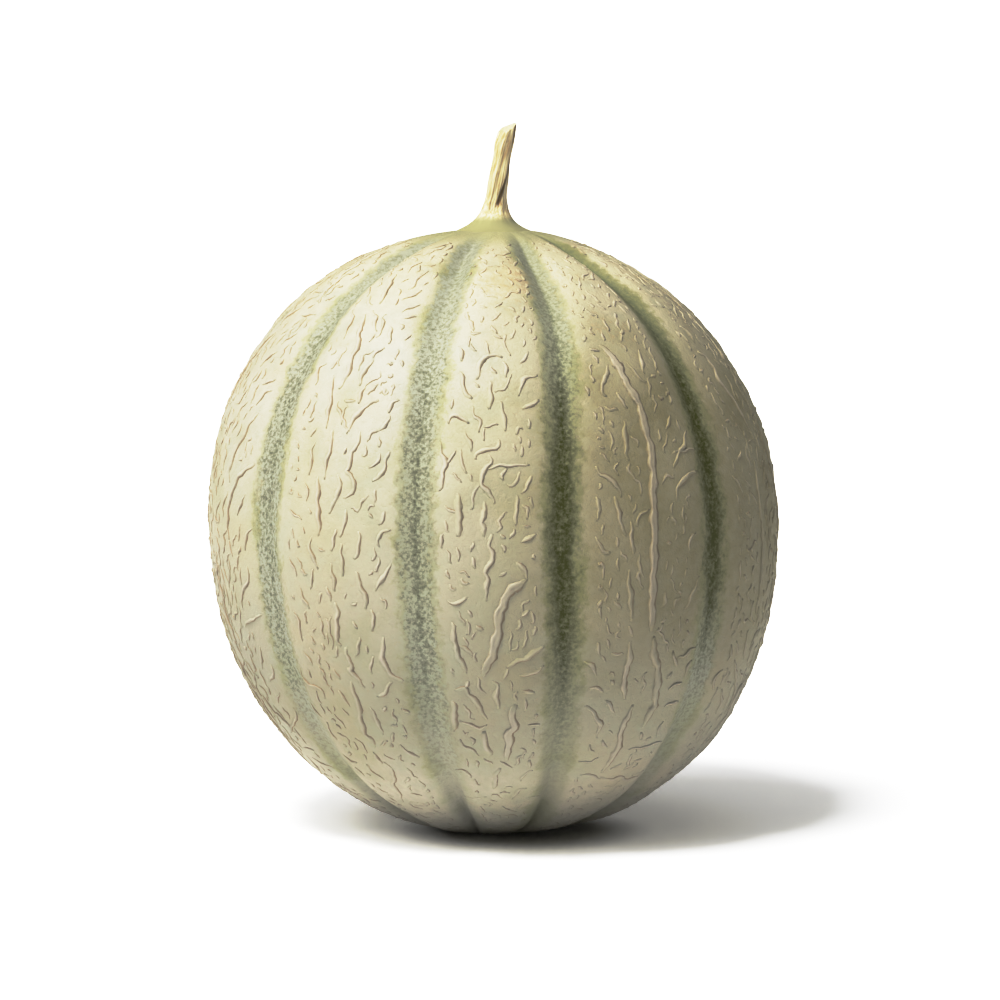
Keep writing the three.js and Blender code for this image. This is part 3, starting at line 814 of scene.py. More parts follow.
def ridge(draws, longitude, latitude, half_width, height, shape):
    """A ridge of cork along a route on the rind, with its edges sunk in it.

    Across the route, u runs from -1 to 1, and towards +X at 1, and gives the profile. Width and height swell
    and shrink along the route, and both ends taper off. On a suture the whole ridge is buried.
    """
    base = rind_point(longitude, latitude, rind_swell(longitude, latitude))
    gone = np.append(0, np.cumsum(np.linalg.norm(np.diff(base, axis=0), axis=1)))
    outward = rind_normal(longitude, latitude)
    share = lobe_and_share(longitude, latitude)[1]
    buried = SUTURE_SINK * (1 - smoothstep(np.minimum(share, 1 - share), 0, BARE_SHARE))
    base = base - outward * buried[:, None]
    along = unit(np.gradient(base, axis=0))
    side = unit(np.cross(along, outward))
    base = base + side * (WIGGLE * wavy(draws, gone, *WIGGLE_WAVES))[:, None]
    taper = np.minimum(gone, gone[-1] - gone) / min(TAPER_LENGTH, gone[-1] / TAPERS)
    taper = np.clip(taper, 0, 1) ** TAPER_POWER
    swell = 1 + SWELLING * wavy(draws, gone, *SWELLING_WAVES)
    fade = TOP_FADE * smoothstep(latitude, *TOP_FADE_LATITUDES)
    fade = fade + BASE_FADE * smoothstep(-latitude, *BASE_FADE_LATITUDES)
    height = height * (1 - fade)[:, None]
    around = -np.cos(np.linspace(0, math.pi, shape.sides))
    easting = np.stack([np.cos(longitude), np.sin(longitude), 0 * longitude], axis=-1)
    # u is 1 towards +X, the side away from the lights, so the stronger right crevices carry painted shade.
    across = around if (side * easting).sum() > 0 else -around
    profile, crevice = ridge_profile(across, shape)
    crest = profile * taper[:, None] * draws.normal(1, CORK_ROUGHNESS, (len(base), shape.sides))
    frayed = draws.normal(1, EDGE_ROUGHNESS, (len(base), shape.sides))
    sideways = half_width * (swell * (TIP_WIDTH + (1 - TIP_WIDTH) * taper))[:, None] * around * frayed
    sunk = smoothstep(np.abs(around), RIM_START, 1)
    upward = height * swell[:, None] * crest + RIM_HEIGHT * (1 - sunk) - FOOT_SINK * sunk
    points = base[:, None] + side[:, None] * sideways[..., None] + outward[:, None] * upward[..., None]
    crevice = crevice * (TIP_CREVICE_AND_SHADE + (1 - TIP_CREVICE_AND_SHADE) * taper[:, None])
    band, darkness = band_place(longitude, latitude)
    tone = draws.uniform()
    values = np.stack(np.broadcast_arrays(crest, crevice, tone, band[:, None], darkness[:, None]), axis=-1)
    ends = [[0, 0, tone, band[0], darkness[0]], [0, 0, tone, band[-1], darkness[-1]]]
    tube = closed_tube(points, points[0].mean(axis=0), points[-1].mean(axis=0))
    return tube, np.concatenate([values.reshape(-1, 5), ends])


def net_object(name, ridges, material):
    """One object from many ridges, with five values at each vertex: how near the crest it is, how near one of
    the brown crevices that are partly painted shade, the tone of its ridge, and its place in the green band."""
    values = np.concatenate([values for _, values in ridges])
    attributes = dict(zip(("crest", "crevice", "tone", "band", "darkness"), values.T))
    return mesh_object(name, [tube for tube, _ in ridges], attributes, material)


def drawn_ridges(cords, net, shape, draws):
    """Ridges along the cords that are listed for the front."""
    made = []
    for half_width, *points in cords:
        route = smooth_route(points, ROUTE_STEP)
        longitude, latitude = on_rind(route[:, 0], route[:, 1])
        tall = net.cord_height / MM * (THINNEST_CORD + THICKNESS_GAIN * half_width)
        made.append(ridge(draws, longitude, latitude, half_width * net.widening, tall, shape))
    return made


def grown_ridges(net, draws):
    """Ridges that wander down the lobes which the front doesn't show."""
    made = []
    for lobe, first, last, count in HIDDEN_STRETCHES:
        for _ in range(round(count * net.back_cords / 100)):
            latitude = math.asin(draws.uniform(math.sin(NET_BOTTOM), math.sin(NET_TOP)))
            heading = draws.normal(0, STRAYING if latitude > WRINKLE_LATITUDE else WRINKLE_STRAYING)
            length = draws.choice([draws.uniform(*lengths) for lengths in GROWN_LENGTHS])
            share = draws.uniform(first, last)
            longitudes, latitudes = grown_route(draws, lobe, share, latitude, length, heading)
            half_width = draws.uniform(*GROWN_HALF_WIDTHS) * net.widening
            tall = net.cord_height / MM * draws.uniform(*GROWN_HEIGHTS)
            shape = draws.choice([LIPPED, LIPPED, LEVEL])
            made.append(ridge(draws, longitudes, latitudes, half_width, tall, RIDGE_SHAPES[shape]))
    return made


def fleck_course(draws):
    """Where a fleck starts, which way it heads, how long it is and how far it wanders.

    Most crowd along both sides of a lobe and slant away from the sutures. Near the blossom end they lie
    across the melon. Beside the sutures they are short and curly, and in the middle of a lobe long and
    straight.
    """
    latitude = math.asin(draws.uniform(math.sin(NET_BOTTOM), math.sin(NET_TOP)))
    inwards = draws.beta(1.0, FLECK_CROWDING)
    away = inwards * (0.5 - FLECK_CLEARANCE) + FLECK_CLEARANCE
    slant = draws.normal(FLECK_SLANT - FLECK_SLANT_LOSS * inwards, FLECK_STRAYING)
    shortest, longest = LONG_FLECKS
    long_fleck = (shortest, longest + FLECK_LENGTH_GAIN * inwards)
    length = draws.choice([draws.uniform(*SHORT_FLECKS), draws.uniform(*long_fleck)])
    least, most = FLECK_WANDERING
    wander = draws.uniform(least, most - inwards)
    if latitude < WRINKLE_LATITUDE:
        slant = draws.normal(WRINKLE_SLANT, WRINKLE_SLANT_STRAYING)
        length = draws.uniform(*WRINKLE_LENGTHS)
    if draws.uniform() < 0.5:
        return latitude, away, slant, length, wander
    return latitude, 1 - away, -slant, length, wander


def fleck_ridges(net, draws, lobes, count, cords):
    """Short squiggles of cork. One is left out where it would lie too near a cord or an earlier squiggle."""
    first_lobe, last_lobe = lobes
    corners = np.concatenate([tube[0] for tube, _ in cords])[::CORD_SAMPLING]
    places = np.concatenate([corners, np.zeros((count, 3))])
    filled = len(corners)
    made = []
    for _ in range(count):
        lobe = draws.integers(first_lobe, last_lobe + 1)
        latitude, share, heading, length, wander = fleck_course(draws)
        longitudes, latitudes = grown_route(draws, lobe, share, latitude, length, heading, wander)
        half_width = draws.uniform(*FLECK_HALF_WIDTHS) * net.widening
        tall = net.fleck_height / MM * draws.uniform(*FLECK_HEIGHTS)
        middle = rind_point(longitudes, latitudes)[len(longitudes) // 2]
        if np.linalg.norm(places[:filled] - middle, axis=1).min() < FLECK_GAP:
            continue
        places[filled] = middle
        filled += 1
        made.append(ridge(draws, longitudes, latitudes, half_width, tall, RIDGE_SHAPES[FLECK]))
    return made


def stalk_tube(stem):
    """The dried stem as rings of points: a flared foot, unequal ribs that twist, a groove and a hollow cut.

    Radius = stalk + (foot - stalk) x exp(-height / flare), times the ribs, a sum of cosines round it.
    """
    length = STEM_BOX[1, 2] - EQUATOR_HEIGHT - UPPER_HALF - STEM_CUT_RISE
    share = (np.linspace(0, 1, STEM_RINGS) ** STEM_RING_CROWDING)[:, None]
    angle = np.linspace(0, 2 * math.pi, STEM_SIDES, endpoint=False)[None, :]
    straight = angle - STEM_TWIST * share
    stalk, foot = stem.radius / MM, stem.foot_radius / MM
    ribs = sum(depth * np.cos(count * straight + start) for depth, count, start in STEM_RIBS)
    depth, count, twist = FIBRE_RIBS
    ribs = ribs + depth * np.cos(count * straight + twist * share)
    course = GROOVE_FOOT + (GROOVE_TOP - GROOVE_FOOT) * smoothstep(share, *GROOVE_TURNS)
    turn = (angle - course + math.pi) % (2 * math.pi) - math.pi
    groove = np.exp(-((turn / GROOVE_WIDTH) ** 2)) * smoothstep(share, *GROOVE_RISES)
    flare = np.exp(-share * length / (stem.flare / MM))
    radius = stalk + (foot - stalk) * flare
    radius = radius * (1 + ribs * smoothstep(share, 0, STEM_RIBS_FULL) - GROOVE_DEPTH * groove)
    depth, pace, start = STEM_SWELLS
    radius = radius * (1 + depth * np.sin(share * pace + start) * smoothstep(share, *STEM_SWELL_SHARES))
    depth, count, start = SKIRT_WAVES
    skirt = SKIRT_WIDTH * np.exp(-share * length / SKIRT_HEIGHT)
    radius = radius + skirt * (1 + depth * np.cos(count * angle + start))
    height = share * length - STEM_FOOT_SINK * (share == 0)
    dome = UPPER_HALF - radius**2 / (2 * EQUATOR_RADIUS) * np.exp(-share * length)
    slope = STEM_CUT_SLOPE * np.cos(angle) + STEM_CUT_TILT * np.sin(angle)
    cut = slope * radius * smoothstep(share, STEM_CUT_START, 1)
    x = np.cos(angle) * radius + stem.lean / MM * share**STEM_LEAN_POWER
    y = np.sin(angle) * radius + np.zeros_like(x)
    side = np.stack([x, y, EQUATOR_HEIGHT + dome + height + cut], axis=-1)
    middle = side[-1].mean(axis=0)
    inside = middle + (side[-1] - middle) * HOLLOW_RINGS[:, None, None]
    inside[..., 2] -= HOLLOW_DEPTHS[:, None]
    points = np.concatenate([side, inside])
    tube = closed_tube(points, points[0].mean(axis=0), points[-1].mean(axis=0))
    fibre = np.stack([np.cos(straight) * radius, np.sin(straight) * radius, height + 0 * radius], axis=-1)
    fibre = np.concatenate([fibre, np.broadcast_to(fibre[-1], inside.shape) * HOLLOW_FIBRE])
    counts = (len(side), len(inside))
    is_cut = np.repeat([0.0, 1.0], counts)[:, None] + np.zeros((1, STEM_SIDES))
    groove = np.concatenate([groove, np.zeros((len(inside), STEM_SIDES))])
    attributes = {
        "fibre": np.concatenate([fibre.reshape(-1, 3), fibre[0, :1], fibre[-1, :1]]) * MM,
        "groove": np.append(groove.ravel(), [0, 0]),
        "cut": np.append(is_cut.ravel(), [0, 1]),
    }
    return tube, attributes


# Materials

# Sockets of a Mix node that is set to colours.
FACTOR, FIRST, SECOND, MIXED = 0, 6, 7, 2
MIX, MATHS, NOISE, RAMP = "ShaderNodeMix", "ShaderNodeMath", "ShaderNodeTexNoise", "ShaderNodeMapRange"
PLACE, ATTRIBUTE = "ShaderNodeTexCoord", "ShaderNodeAttribute"
LINEAR, SMOOTH = "LINEAR", "SMOOTHSTEP"


def colour(code):
    """An sRGB hex colour as linear red, green, blue and alpha."""
    parts = [int(code[i : i + 2], 16) / 255 for i in (1, 3, 5)]
    return tuple(p / 12.92 if p <= 0.04045 else ((p + 0.055) / 1.055) ** 2.4 for p in parts) + (1.0,)


def add_node(tree, kind, inputs=None, output=0, **settings):
    """Adds a node with its settings, sets or links its inputs, and returns the output that is asked for."""
    made = tree.nodes.new(kind)
    for key, value in settings.items():
        setattr(made, key, value)
    for key, value in (inputs or {}).items():
        if isinstance(value, bpy.types.NodeSocket):
            tree.links.new(value, made.inputs[key])
        else:
            made.inputs[key].default_value = value
    return made.outputs[output] if made.outputs else None


def new_material(name):
    """An empty node material and its tree."""
    made = bpy.data.materials.new(name)
    made.use_nodes = True
    made.node_tree.nodes.clear()
    return made, made.node_tree


def finish_surface(tree, base, relief, strength, depth, roughness, ior, sheen):
    """Ends a material with a relief, whose depth is in millimetres, and a shader."""
    raised = {"Height": relief, "Strength": strength, "Distance": depth * MM}
    bump = add_node(tree, "ShaderNodeBump", raised, output="Normal")
    finish = {"Base Color": base, "Normal": bump, "Roughness": roughness}
    finish.update({"IOR": ior, "Specular IOR Level": sheen})
    shader = add_node(tree, "ShaderNodeBsdfPrincipled", finish)
    add_node(tree, "ShaderNodeOutputMaterial", {"Surface": shader})


def layered(tree, base, layers):
    """A colour with others laid over it in turn, each by its own mask."""
    for mask, tint in layers:
        base = add_node(tree, MIX, {FACTOR: mask, FIRST: base, SECOND: tint}, MIXED, data_type="RGBA")
    return base


def washed(tree, base, washes):
    """A colour with others laid over it in turn. Each comes in between two values of what it follows.

    A wash has what it follows, where it starts, where it is full, how strong it is there, whether it comes
    in evenly or smoothly, and its colour.
    """
    for value, start, full, strength, kind, tint in washes:
        rise = {"Value": value, "From Min": start, "From Max": full, "To Max": strength}
        base = layered(tree, base, [(add_node(tree, RAMP, rise, interpolation_type=kind), tint)])
    return base


def summed(tree, base, terms):
    """A value with others added to it in turn, each times its own weight."""
    for value, weight in terms:
        base = add_node(tree, MATHS, {0: value, 1: weight, 2: base}, operation="MULTIPLY_ADD")
    return base


def shifted(tree, base, noises, weights):
    """A value shifted both ways by patterns, each times its weight. The middle of a pattern is 0.5."""
    terms = [(noises[name], weight) for name, weight in weights.items()]
    return summed(tree, base, [*terms, (sum(weights.values()) / 2, -1)])


def skin_noises(tree, place):
    """The skin's patterns of each size, by name."""
    noises = {}
    for name, (size, detail, roughness) in SKIN_NOISES.items():
        inputs = {"Vector": place, "Scale": 1 / (size * MM), "Detail": detail, "Roughness": roughness}
        noises[name] = add_node(tree, NOISE, inputs)
    return noises


def plain_skin(tree, rind, place, height, noises):
    """The skin between the bands: paler at both ends, darker on one cheek, patchy and finely mottled. The
    paler top is partly painted sheen. The darker cheek, on the right away from the lights, is partly painted
    shade.
    """
    washes = [
        # The upper and top washes are partly bloom, partly painted sheen.
        (height, *UPPER_BLOOM_AND_SHEEN, 1, SMOOTH, rind.upper_bloom_and_sheen_colour),
        (height, *TOP_BLOOM_AND_SHEEN, 1, SMOOTH, rind.top_bloom_and_sheen_colour),
        (height, *BASE_SKIN, 1, SMOOTH, rind.base_colour),
        (noises["broad"], 0.52, 0.7, 0.4, LINEAR, rind.peach_colour),
        (noises["blotch"], 0.5, 0.7, 0.5, LINEAR, rind.olive_colour),
        (noises["patch"], 0.5, 0.7, 0.4, LINEAR, rind.grey_colour),
    ]
    skin = washed(tree, rind.low_colour, washes)
    # The cheek's darkening on the right is partly painted shade.
    skin = layered(tree, skin, [(olive_shaded_cheek_mask(tree, place, height, noises), rind.olive_shaded_cheek_colour)])
    skin = washed(tree, skin, [(noises["mottle"], 0.4, 0.72, 0.3, LINEAR, rind.low_colour)])
    return layered(tree, skin, [(russet_mask(tree, place, height, noises), rind.russet_colour)])


def olive_shaded_cheek_mask(tree, place, height, noises):
    """The cheek on the right, away from the lights: partly the skin's own olive tone, partly painted shade.
    It fades out to the left and towards both ends, and is a little blotchy.
    """
    side = add_node(tree, "ShaderNodeSeparateXYZ", {"Vector": place}, "X")
    uneven = {"Value": noises["blotch"], "From Min": 0.35, "From Max": 0.65, "To Min": 0.72, "To Max": 0.99}
    mask = add_node(tree, RAMP, uneven)
    for value, (start, full) in ((side, SHADED_CHEEK_SIDE), (height, SHADED_CHEEK_BASE), (height, SHADED_CHEEK_TOP)):
        fade = {"Value": value, "From Min": start, "From Max": full}
        fade = add_node(tree, RAMP, fade, interpolation_type=SMOOTH)
        mask = add_node(tree, MATHS, {0: mask, 1: fade}, operation="MULTIPLY")
    return mask


def russet_mask(tree, place, height, noises):
    """Speckles of russet, in one large patch beside the stem and in a few small ones high on the lobes."""
    middle = rind_point(np.radians(RUSSET_LONGITUDE), np.radians(RUSSET_LATITUDE)) * MM
    away = {0: place, 1: tuple(middle)}
    away = add_node(tree, "ShaderNodeVectorMath", away, "Value", operation="DISTANCE")
    start, full = RUSSET_RADII
    patch = {"Value": away, "From Min": start, "From Max": full, "To Max": 0.25}
    patch = add_node(tree, RAMP, patch, interpolation_type=SMOOTH)
    start, full = RUSSET_HEIGHTS
    high = add_node(tree, RAMP, {"Value": height, "From Min": start, "From Max": full, "To Max": 0.2})
    where = add_node(tree, RAMP, {"Value": noises["blotch"], "From Min": 0.5, "From Max": 0.66})
    small = add_node(tree, MATHS, {0: high, 1: where}, operation="MULTIPLY")
    either = add_node(tree, MATHS, {0: patch, 1: small}, operation="MAXIMUM")
    speckled = summed(tree, either, [(noises["mottle"], 0.5), (noises["grain"], 0.5)])
    return add_node(tree, RAMP, {"Value": speckled, "From Min": 0.6, "From Max": 1.0, "To Max": 0.6})


def green_band(tree, rind, height, noises):
    """The band along a suture: its colour, the mask it lies by, its dark cells and the fringe beside it.

    The distance from the suture is shifted by three patterns, so every edge is ragged. Dark cells crowd in a
    core, which is wide on a dark suture and thin on a pale one. They thin out towards both ends.
    """
    band = add_node(tree, ATTRIBUTE, output="Fac", attribute_name="band")
    darkness = add_node(tree, ATTRIBUTE, output="Fac", attribute_name="darkness")
    zones = []
    for start, full in (LOW_BAND, HIGH_BAND):
        zone = {"Value": height, "From Min": start, "From Max": full}
        zones.append(add_node(tree, RAMP, zone, interpolation_type=SMOOTH))
    low, high = zones
    ragged = shifted(tree, band, noises, EDGE_SHIFTS)
    core = core_mask(tree, darkness, ragged)
    sage = {"Value": ragged, "From Min": 1.4, "From Max": 0.7, "To Max": 0.9}
    sage = add_node(tree, RAMP, sage, interpolation_type=SMOOTH)
    fringe = {"Value": ragged, "From Min": 1.6, "From Max": 0.9, "To Max": 0.55}
    fringe = add_node(tree, RAMP, fringe, interpolation_type=SMOOTH)
    where = add_node(tree, RAMP, {"Value": noises["blotch"], "From Min": 0.48, "From Max": 0.62})
    fringe = add_node(tree, MATHS, {0: fringe, 1: where}, operation="MULTIPLY")

    # Dark cells crowd in the core. Fewer are dark on a pale suture and towards both ends.
    deep = {"Value": darkness, "From Min": 0.3, "From Max": 1.0, "To Min": 0.2, "To Max": 0.7}
    deep = summed(tree, add_node(tree, RAMP, deep), [(low, -LOW_THINNING), (high, -HIGH_THINNING)])
    crowd = shifted(tree, deep, noises, CELL_CLUMPING)
    crowd = add_node(tree, MATHS, {0: core, 1: crowd}, operation="MULTIPLY")
    grain = add_node(tree, RAMP, {"Value": noises["grain"], "From Min": 0.28, "From Max": 0.74})
    speckle = add_node(tree, MATHS, {0: grain, 1: crowd}, operation="ADD")
    cells = add_node(tree, RAMP, {"Value": speckle, "From Min": 0.42, "From Max": 1.32})
    dark = layered(tree, rind.cell_colour, [(low, rind.low_cell_colour), (high, rind.high_cell_colour)])
    washes = [
        (grain, 0.6, 0.2, 0.35, LINEAR, rind.bloom_colour),
        (ragged, 0.7, 1.15, 0.6, LINEAR, rind.fringe_colour),
        (darkness, 0.4, 0.9, 0.75, LINEAR, rind.moss_colour),
    ]
    pale = washed(tree, rind.sage_colour, washes)
    faded = add_node(tree, RAMP, {"Value": low, "To Min": 1.0, "To Max": 0.4})
    mask = add_node(tree, MATHS, {0: sage, 1: core}, operation="MAXIMUM")
    mask = add_node(tree, MATHS, {0: mask, 1: faded}, operation="MULTIPLY")
    return layered(tree, pale, [(cells, dark)]), mask, cells, fringe


def core_mask(tree, darkness, ragged):
    """The core of a band, by how dark its suture is and the ragged distance from it."""
    narrow, wide = CORE_WIDTHS
    width = {"Value": darkness, "From Min": 0.3, "From Max": 1.0, "To Min": narrow, "To Max": wide}
    width = add_node(tree, RAMP, width)
    full = add_node(tree, MATHS, {0: width, 1: CORE_INNER_FADE}, operation="SUBTRACT")
    start = add_node(tree, MATHS, {0: width, 1: CORE_OUTER_FADE}, operation="ADD")
    core = {"Value": ragged, "From Min": start, "From Max": full}
    return add_node(tree, RAMP, core, interpolation_type=SMOOTH)


def skin_pattern(tree, rind):
    """The colour of the rind and the relief of its skin. The net's feet share it."""
    place = add_node(tree, PLACE, output="Object")
    height = add_node(tree, "ShaderNodeSeparateXYZ", {"Vector": place}, "Z")
    noises = skin_noises(tree, place)
    skin = plain_skin(tree, rind, place, height, noises)
    green, mask, cells, fringe = green_band(tree, rind, height, noises)
    skin = layered(tree, skin, [(fringe, rind.fringe_colour), (mask, green)])
    skin = washed(tree, skin, [(height, *SEAT_SKIN, 0.95, SMOOTH, rind.seat_colour)])
    crumbs = add_node(tree, MATHS, {0: noises["grain"], 1: mask}, operation="MULTIPLY")
    return skin, summed(tree, noises["mottle"], [(crumbs, 1.2), (cells, -0.5)])


def make_rind_material(rind):
    """Melon skin: a waxy cuticle under a powdery bloom, as it grew. Wax gives a faint broad sheen, and
    bloom and fine wrinkles keep it from shining."""
    material, tree = new_material("waxy_melon_skin")
    skin, relief = skin_pattern(tree, rind)
    finish_surface(tree, skin, relief, strength=0.6, depth=0.25, roughness=0.55, ior=1.42, sheen=0.3)
    return material


def make_cork_material(rind, net):
    """Corky net: dead cork grown over cracks in the skin, weathered. It is matt and pinkish beige, with
    brown crevices along its feet, where it takes on the colour of the skin. On the feet away from the lights,
    the brown of the crevices is partly painted shade."""
    material, tree = new_material("weathered_cork_net")
    skin = skin_pattern(tree, rind)[0]
    place = add_node(tree, PLACE, output="Object")
    crest = add_node(tree, ATTRIBUTE, output="Fac", attribute_name="crest")
    crevice = add_node(tree, ATTRIBUTE, output="Fac", attribute_name="crevice")
    tone = add_node(tree, ATTRIBUTE, output="Fac", attribute_name="tone")
    scuffs = add_node(tree, NOISE, {"Vector": place, "Scale": 1 / (SCUFF_SIZE * MM), "Detail": 3.0})
    pores = add_node(tree, NOISE, {"Vector": place, "Scale": 1 / (PORE_SIZE * MM), "Detail": 2.0})
    toned = add_node(tree, RAMP, {"Value": tone, "To Min": 0.55, "To Max": 0.82})
    cork = layered(tree, net.pale_colour, [(scuffs, net.warm_colour), (toned, skin)])
    broken = add_node(tree, RAMP, {"Value": scuffs, "From Min": 0.25, "From Max": 0.45, "To Max": 0.8})
    # Brown crevice lines, partly painted shade on the feet away from the lights, broken up by the scuffs.
    brown_and_shade = add_node(tree, MATHS, {0: crevice, 1: broken}, operation="MULTIPLY")
    mixed = washed(tree, skin, [(crest, 0.15, 0.8, 1, SMOOTH, cork)])
    mixed = layered(tree, mixed, [(brown_and_shade, net.crevice_and_shade_colour)])
    relief = summed(tree, scuffs, [(pores, 0.6)])
    finish_surface(tree, mixed, relief, strength=0.4, depth=0.2, roughness=0.75, ior=1.45, sheen=0.3)
    return material


def make_stem_material(stem):
    """Dried melon stem: woody fibre, cut and dried in air. Fibres streak it with straw and tan, its groove
    is dark brown, partly withered fibre and partly painted shade on the side away from the lights, its foot
    is still green and its cut is pale."""
    material, tree = new_material("dried_stem_fibre")
    fibre = add_node(tree, ATTRIBUTE, output="Vector", attribute_name="fibre")
    groove = add_node(tree, ATTRIBUTE, output="Fac", attribute_name="groove")
    cut = add_node(tree, ATTRIBUTE, output="Fac", attribute_name="cut")
    stretched = add_node(tree, "ShaderNodeMapping", {"Vector": fibre, "Scale": (1, 1, FIBRE_STRETCH)})
    streaks = add_node(tree, NOISE, {"Vector": stretched, "Scale": 1 / (FIBRE_SIZE * MM), "Detail": 3.0})
    blotches = add_node(tree, NOISE, {"Vector": fibre, "Scale": 1 / (STAIN_SIZE * MM), "Detail": 2.0})
    height = add_node(tree, "ShaderNodeSeparateXYZ", {"Vector": fibre}, "Z")
    washes = [
        (streaks, 0.4, 0.68, 1, LINEAR, stem.tan_colour),
        (blotches, 0.55, 0.75, 0.7, LINEAR, stem.tan_colour),
        (summed(tree, groove, [(streaks, 0.35)]), 0.62, 1.0, 1, LINEAR, stem.groove_and_shade_colour),
        (height, *GREEN_FOOT, 1, SMOOTH, stem.foot_colour),
    ]
    face = washed(tree, stem.straw_colour, washes)
    face = layered(tree, face, [(cut, stem.cut_colour)])
    start, full = WOODY_STALK
    woody = add_node(tree, RAMP, {"Value": height, "From Min": start, "From Max": full, "To Max": 0.6})
    finish_surface(tree, face, streaks, strength=woody, depth=0.25, roughness=0.7, ior=1.45, sheen=0.35)
    return material


def make_floor_material(studio):
    """Studio paper: matt white and seamless. It glows faintly, as paper on a light table would: painted light
    from beneath, which lifts the melon's shadow and lights its underside. The glow fades out round where the
    melon rests, as a painted contact shadow."""
    material, tree = new_material("white_studio_paper")
    place = add_node(tree, PLACE, output="Object")
    away = add_node(tree, "ShaderNodeVectorMath", {0: place, 1: CONTACT_SHADOW_SPOT}, "Value", operation="DISTANCE")
    start, full = CONTACT_SHADOW_RADII
    glow = {"Value": away, "From Min": start, "From Max": full, "To Max": studio.paper_glow}
    finish = {
        "Base Color": studio.paper_colour,
        "Roughness": 0.9,
        "Specular IOR Level": 0.0,
        "Emission Color": (1, 1, 1, 1),
        "Emission Strength": add_node(tree, RAMP, glow, interpolation_type=SMOOTH),
    }
    shader = add_node(tree, "ShaderNodeBsdfPrincipled", finish)
    add_node(tree, "ShaderNodeOutputMaterial", {"Surface": shader})
    return material


def colour_property(name, description, code):
    """A colour that a user may change."""
    return FloatVectorProperty(
        name=name, description=description, subtype="COLOR", size=4, min=0, max=1, default=colour(code)
    )


def length_property(name, description, millimetres):
    """A length that a user may change. It is kept in metres."""
    return FloatProperty(
        name=name, description=description, subtype="DISTANCE", unit="LENGTH", min=0, default=millimetres * MM
    )


def angle_property(name, description, degrees):
    """An angle that a user may change. It is kept in radians."""
    return FloatProperty(name=name, description=description, subtype="ANGLE", default=math.radians(degrees))


def number_property(name, description, default, least=0):
    """A plain number that a user may change."""
    return FloatProperty(name=name, description=description, default=default, min=least)


# Settings


class MelonRindSettings(bpy.types.PropertyGroup):
    """Sizes and colours of the rind."""

    scar_depth: length_property("Scar depth", "Depth of the blossom scar under the melon", 0.9)
    # Paler and greyer than the lower skin: partly its bloom, partly painted sheen from the lights above.
    upper_bloom_and_sheen_colour: colour_property("Upper skin", "Skin of the upper half, under its bloom", "#b5b1a4")
    low_colour: colour_property("Lower skin", "Skin of the lower half", "#a5a296")
    base_colour: colour_property("Base", "Skin round the blossom end", "#b7b3a8")
    # Paler still near the stem: partly bloom, partly painted sheen.
    top_bloom_and_sheen_colour: colour_property("Top", "Skin near the stem", "#bab4a2")
    # Darker olive on the right, away from the lights: partly the skin's own tone, partly painted shade.
    olive_shaded_cheek_colour: colour_property("Cheek", "Darker skin of one cheek", "#928c70")
    peach_colour: colour_property("Ripe patches", "Warmer patches of the skin", "#aca491")
    olive_colour: colour_property("Olive patches", "Greener patches of the skin", "#a2a08f")
    grey_colour: colour_property("Grey patches", "Cooler patches of the skin", "#a6a79c")
    russet_colour: colour_property("Russet", "Speckles near the stem", "#ab9777")
    fringe_colour: colour_property("Fringe", "Yellow-green skin along the sutures", "#969677")
    cell_colour: colour_property("Dark cells", "Dark cells in the bands along the sutures", "#4b4e24")
    low_cell_colour: colour_property("Lower dark cells", "Dark cells towards the blossom end", "#76796a")
    high_cell_colour: colour_property("Upper dark cells", "Dark cells towards the stem", "#80846c")
    sage_colour: colour_property("Sage", "Pale green skin between the dark cells", "#9c9c91")
    moss_colour: colour_property("Moss", "Olive skin between the cells of a dark band", "#87865c")
    bloom_colour: colour_property("Bloom", "Powdery grains in the bands", "#a8aba2")
    seat_colour: colour_property("Seat", "Skin round the foot of the stem", "#a3a18a")


class MelonNetSettings(bpy.types.PropertyGroup):
    """Sizes and colours of the corky net."""

    cord_height: length_property("Cord height", "Height of a middling cord", 0.34)
    fleck_height: length_property("Fleck height", "Height of a middling fleck", 0.23)
    widening: number_property("Widening", "Width of a cord's feet beside its crest", 1.4, least=1)
    back_cords: IntProperty(
        name="Hidden cords", description="Cords of the back, in percent", default=100, min=0
    )
    flecks: IntProperty(name="Flecks", description="Squiggles of cork that are tried", default=15000, min=1)
    pale_colour: colour_property("Pale cork", "Cork where it is most weathered", "#b9b3af")
    warm_colour: colour_property("Warm cork", "Cork where it is less weathered", "#b1a9a1")
    # Brown crevices of the cork, partly painted shade along the feet away from the lights.
    crevice_and_shade_colour: colour_property("Crevices", "Brown lines along the feet of the cords", "#8b7e6a")


class MelonStemSettings(bpy.types.PropertyGroup):
    """Sizes and colours of the dried stem."""

    radius: length_property("Radius", "Radius of the stalk", 2.3)
    foot_radius: length_property("Foot radius", "Radius of the flared foot", 8.2)
    flare: length_property("Flare", "Height over which the foot narrows by a factor of e", 2.7)
    lean: length_property("Lean", "How far the cut stands to the side of the foot", 3.6)
    straw_colour: colour_property("Straw", "Pale fibres", "#d2cbb3")
    tan_colour: colour_property("Tan", "Darker fibres and stains", "#b5a687")
    # Dark brown of the withered groove, partly painted shade on the stem's side away from the lights.
    groove_and_shade_colour: colour_property("Groove", "Withered groove along the stem", "#6f5b3e")
    foot_colour: colour_property("Foot", "Green foot of the stem", "#9e9c83")
    cut_colour: colour_property("Cut", "Cut end of the stem", "#bdb79e")


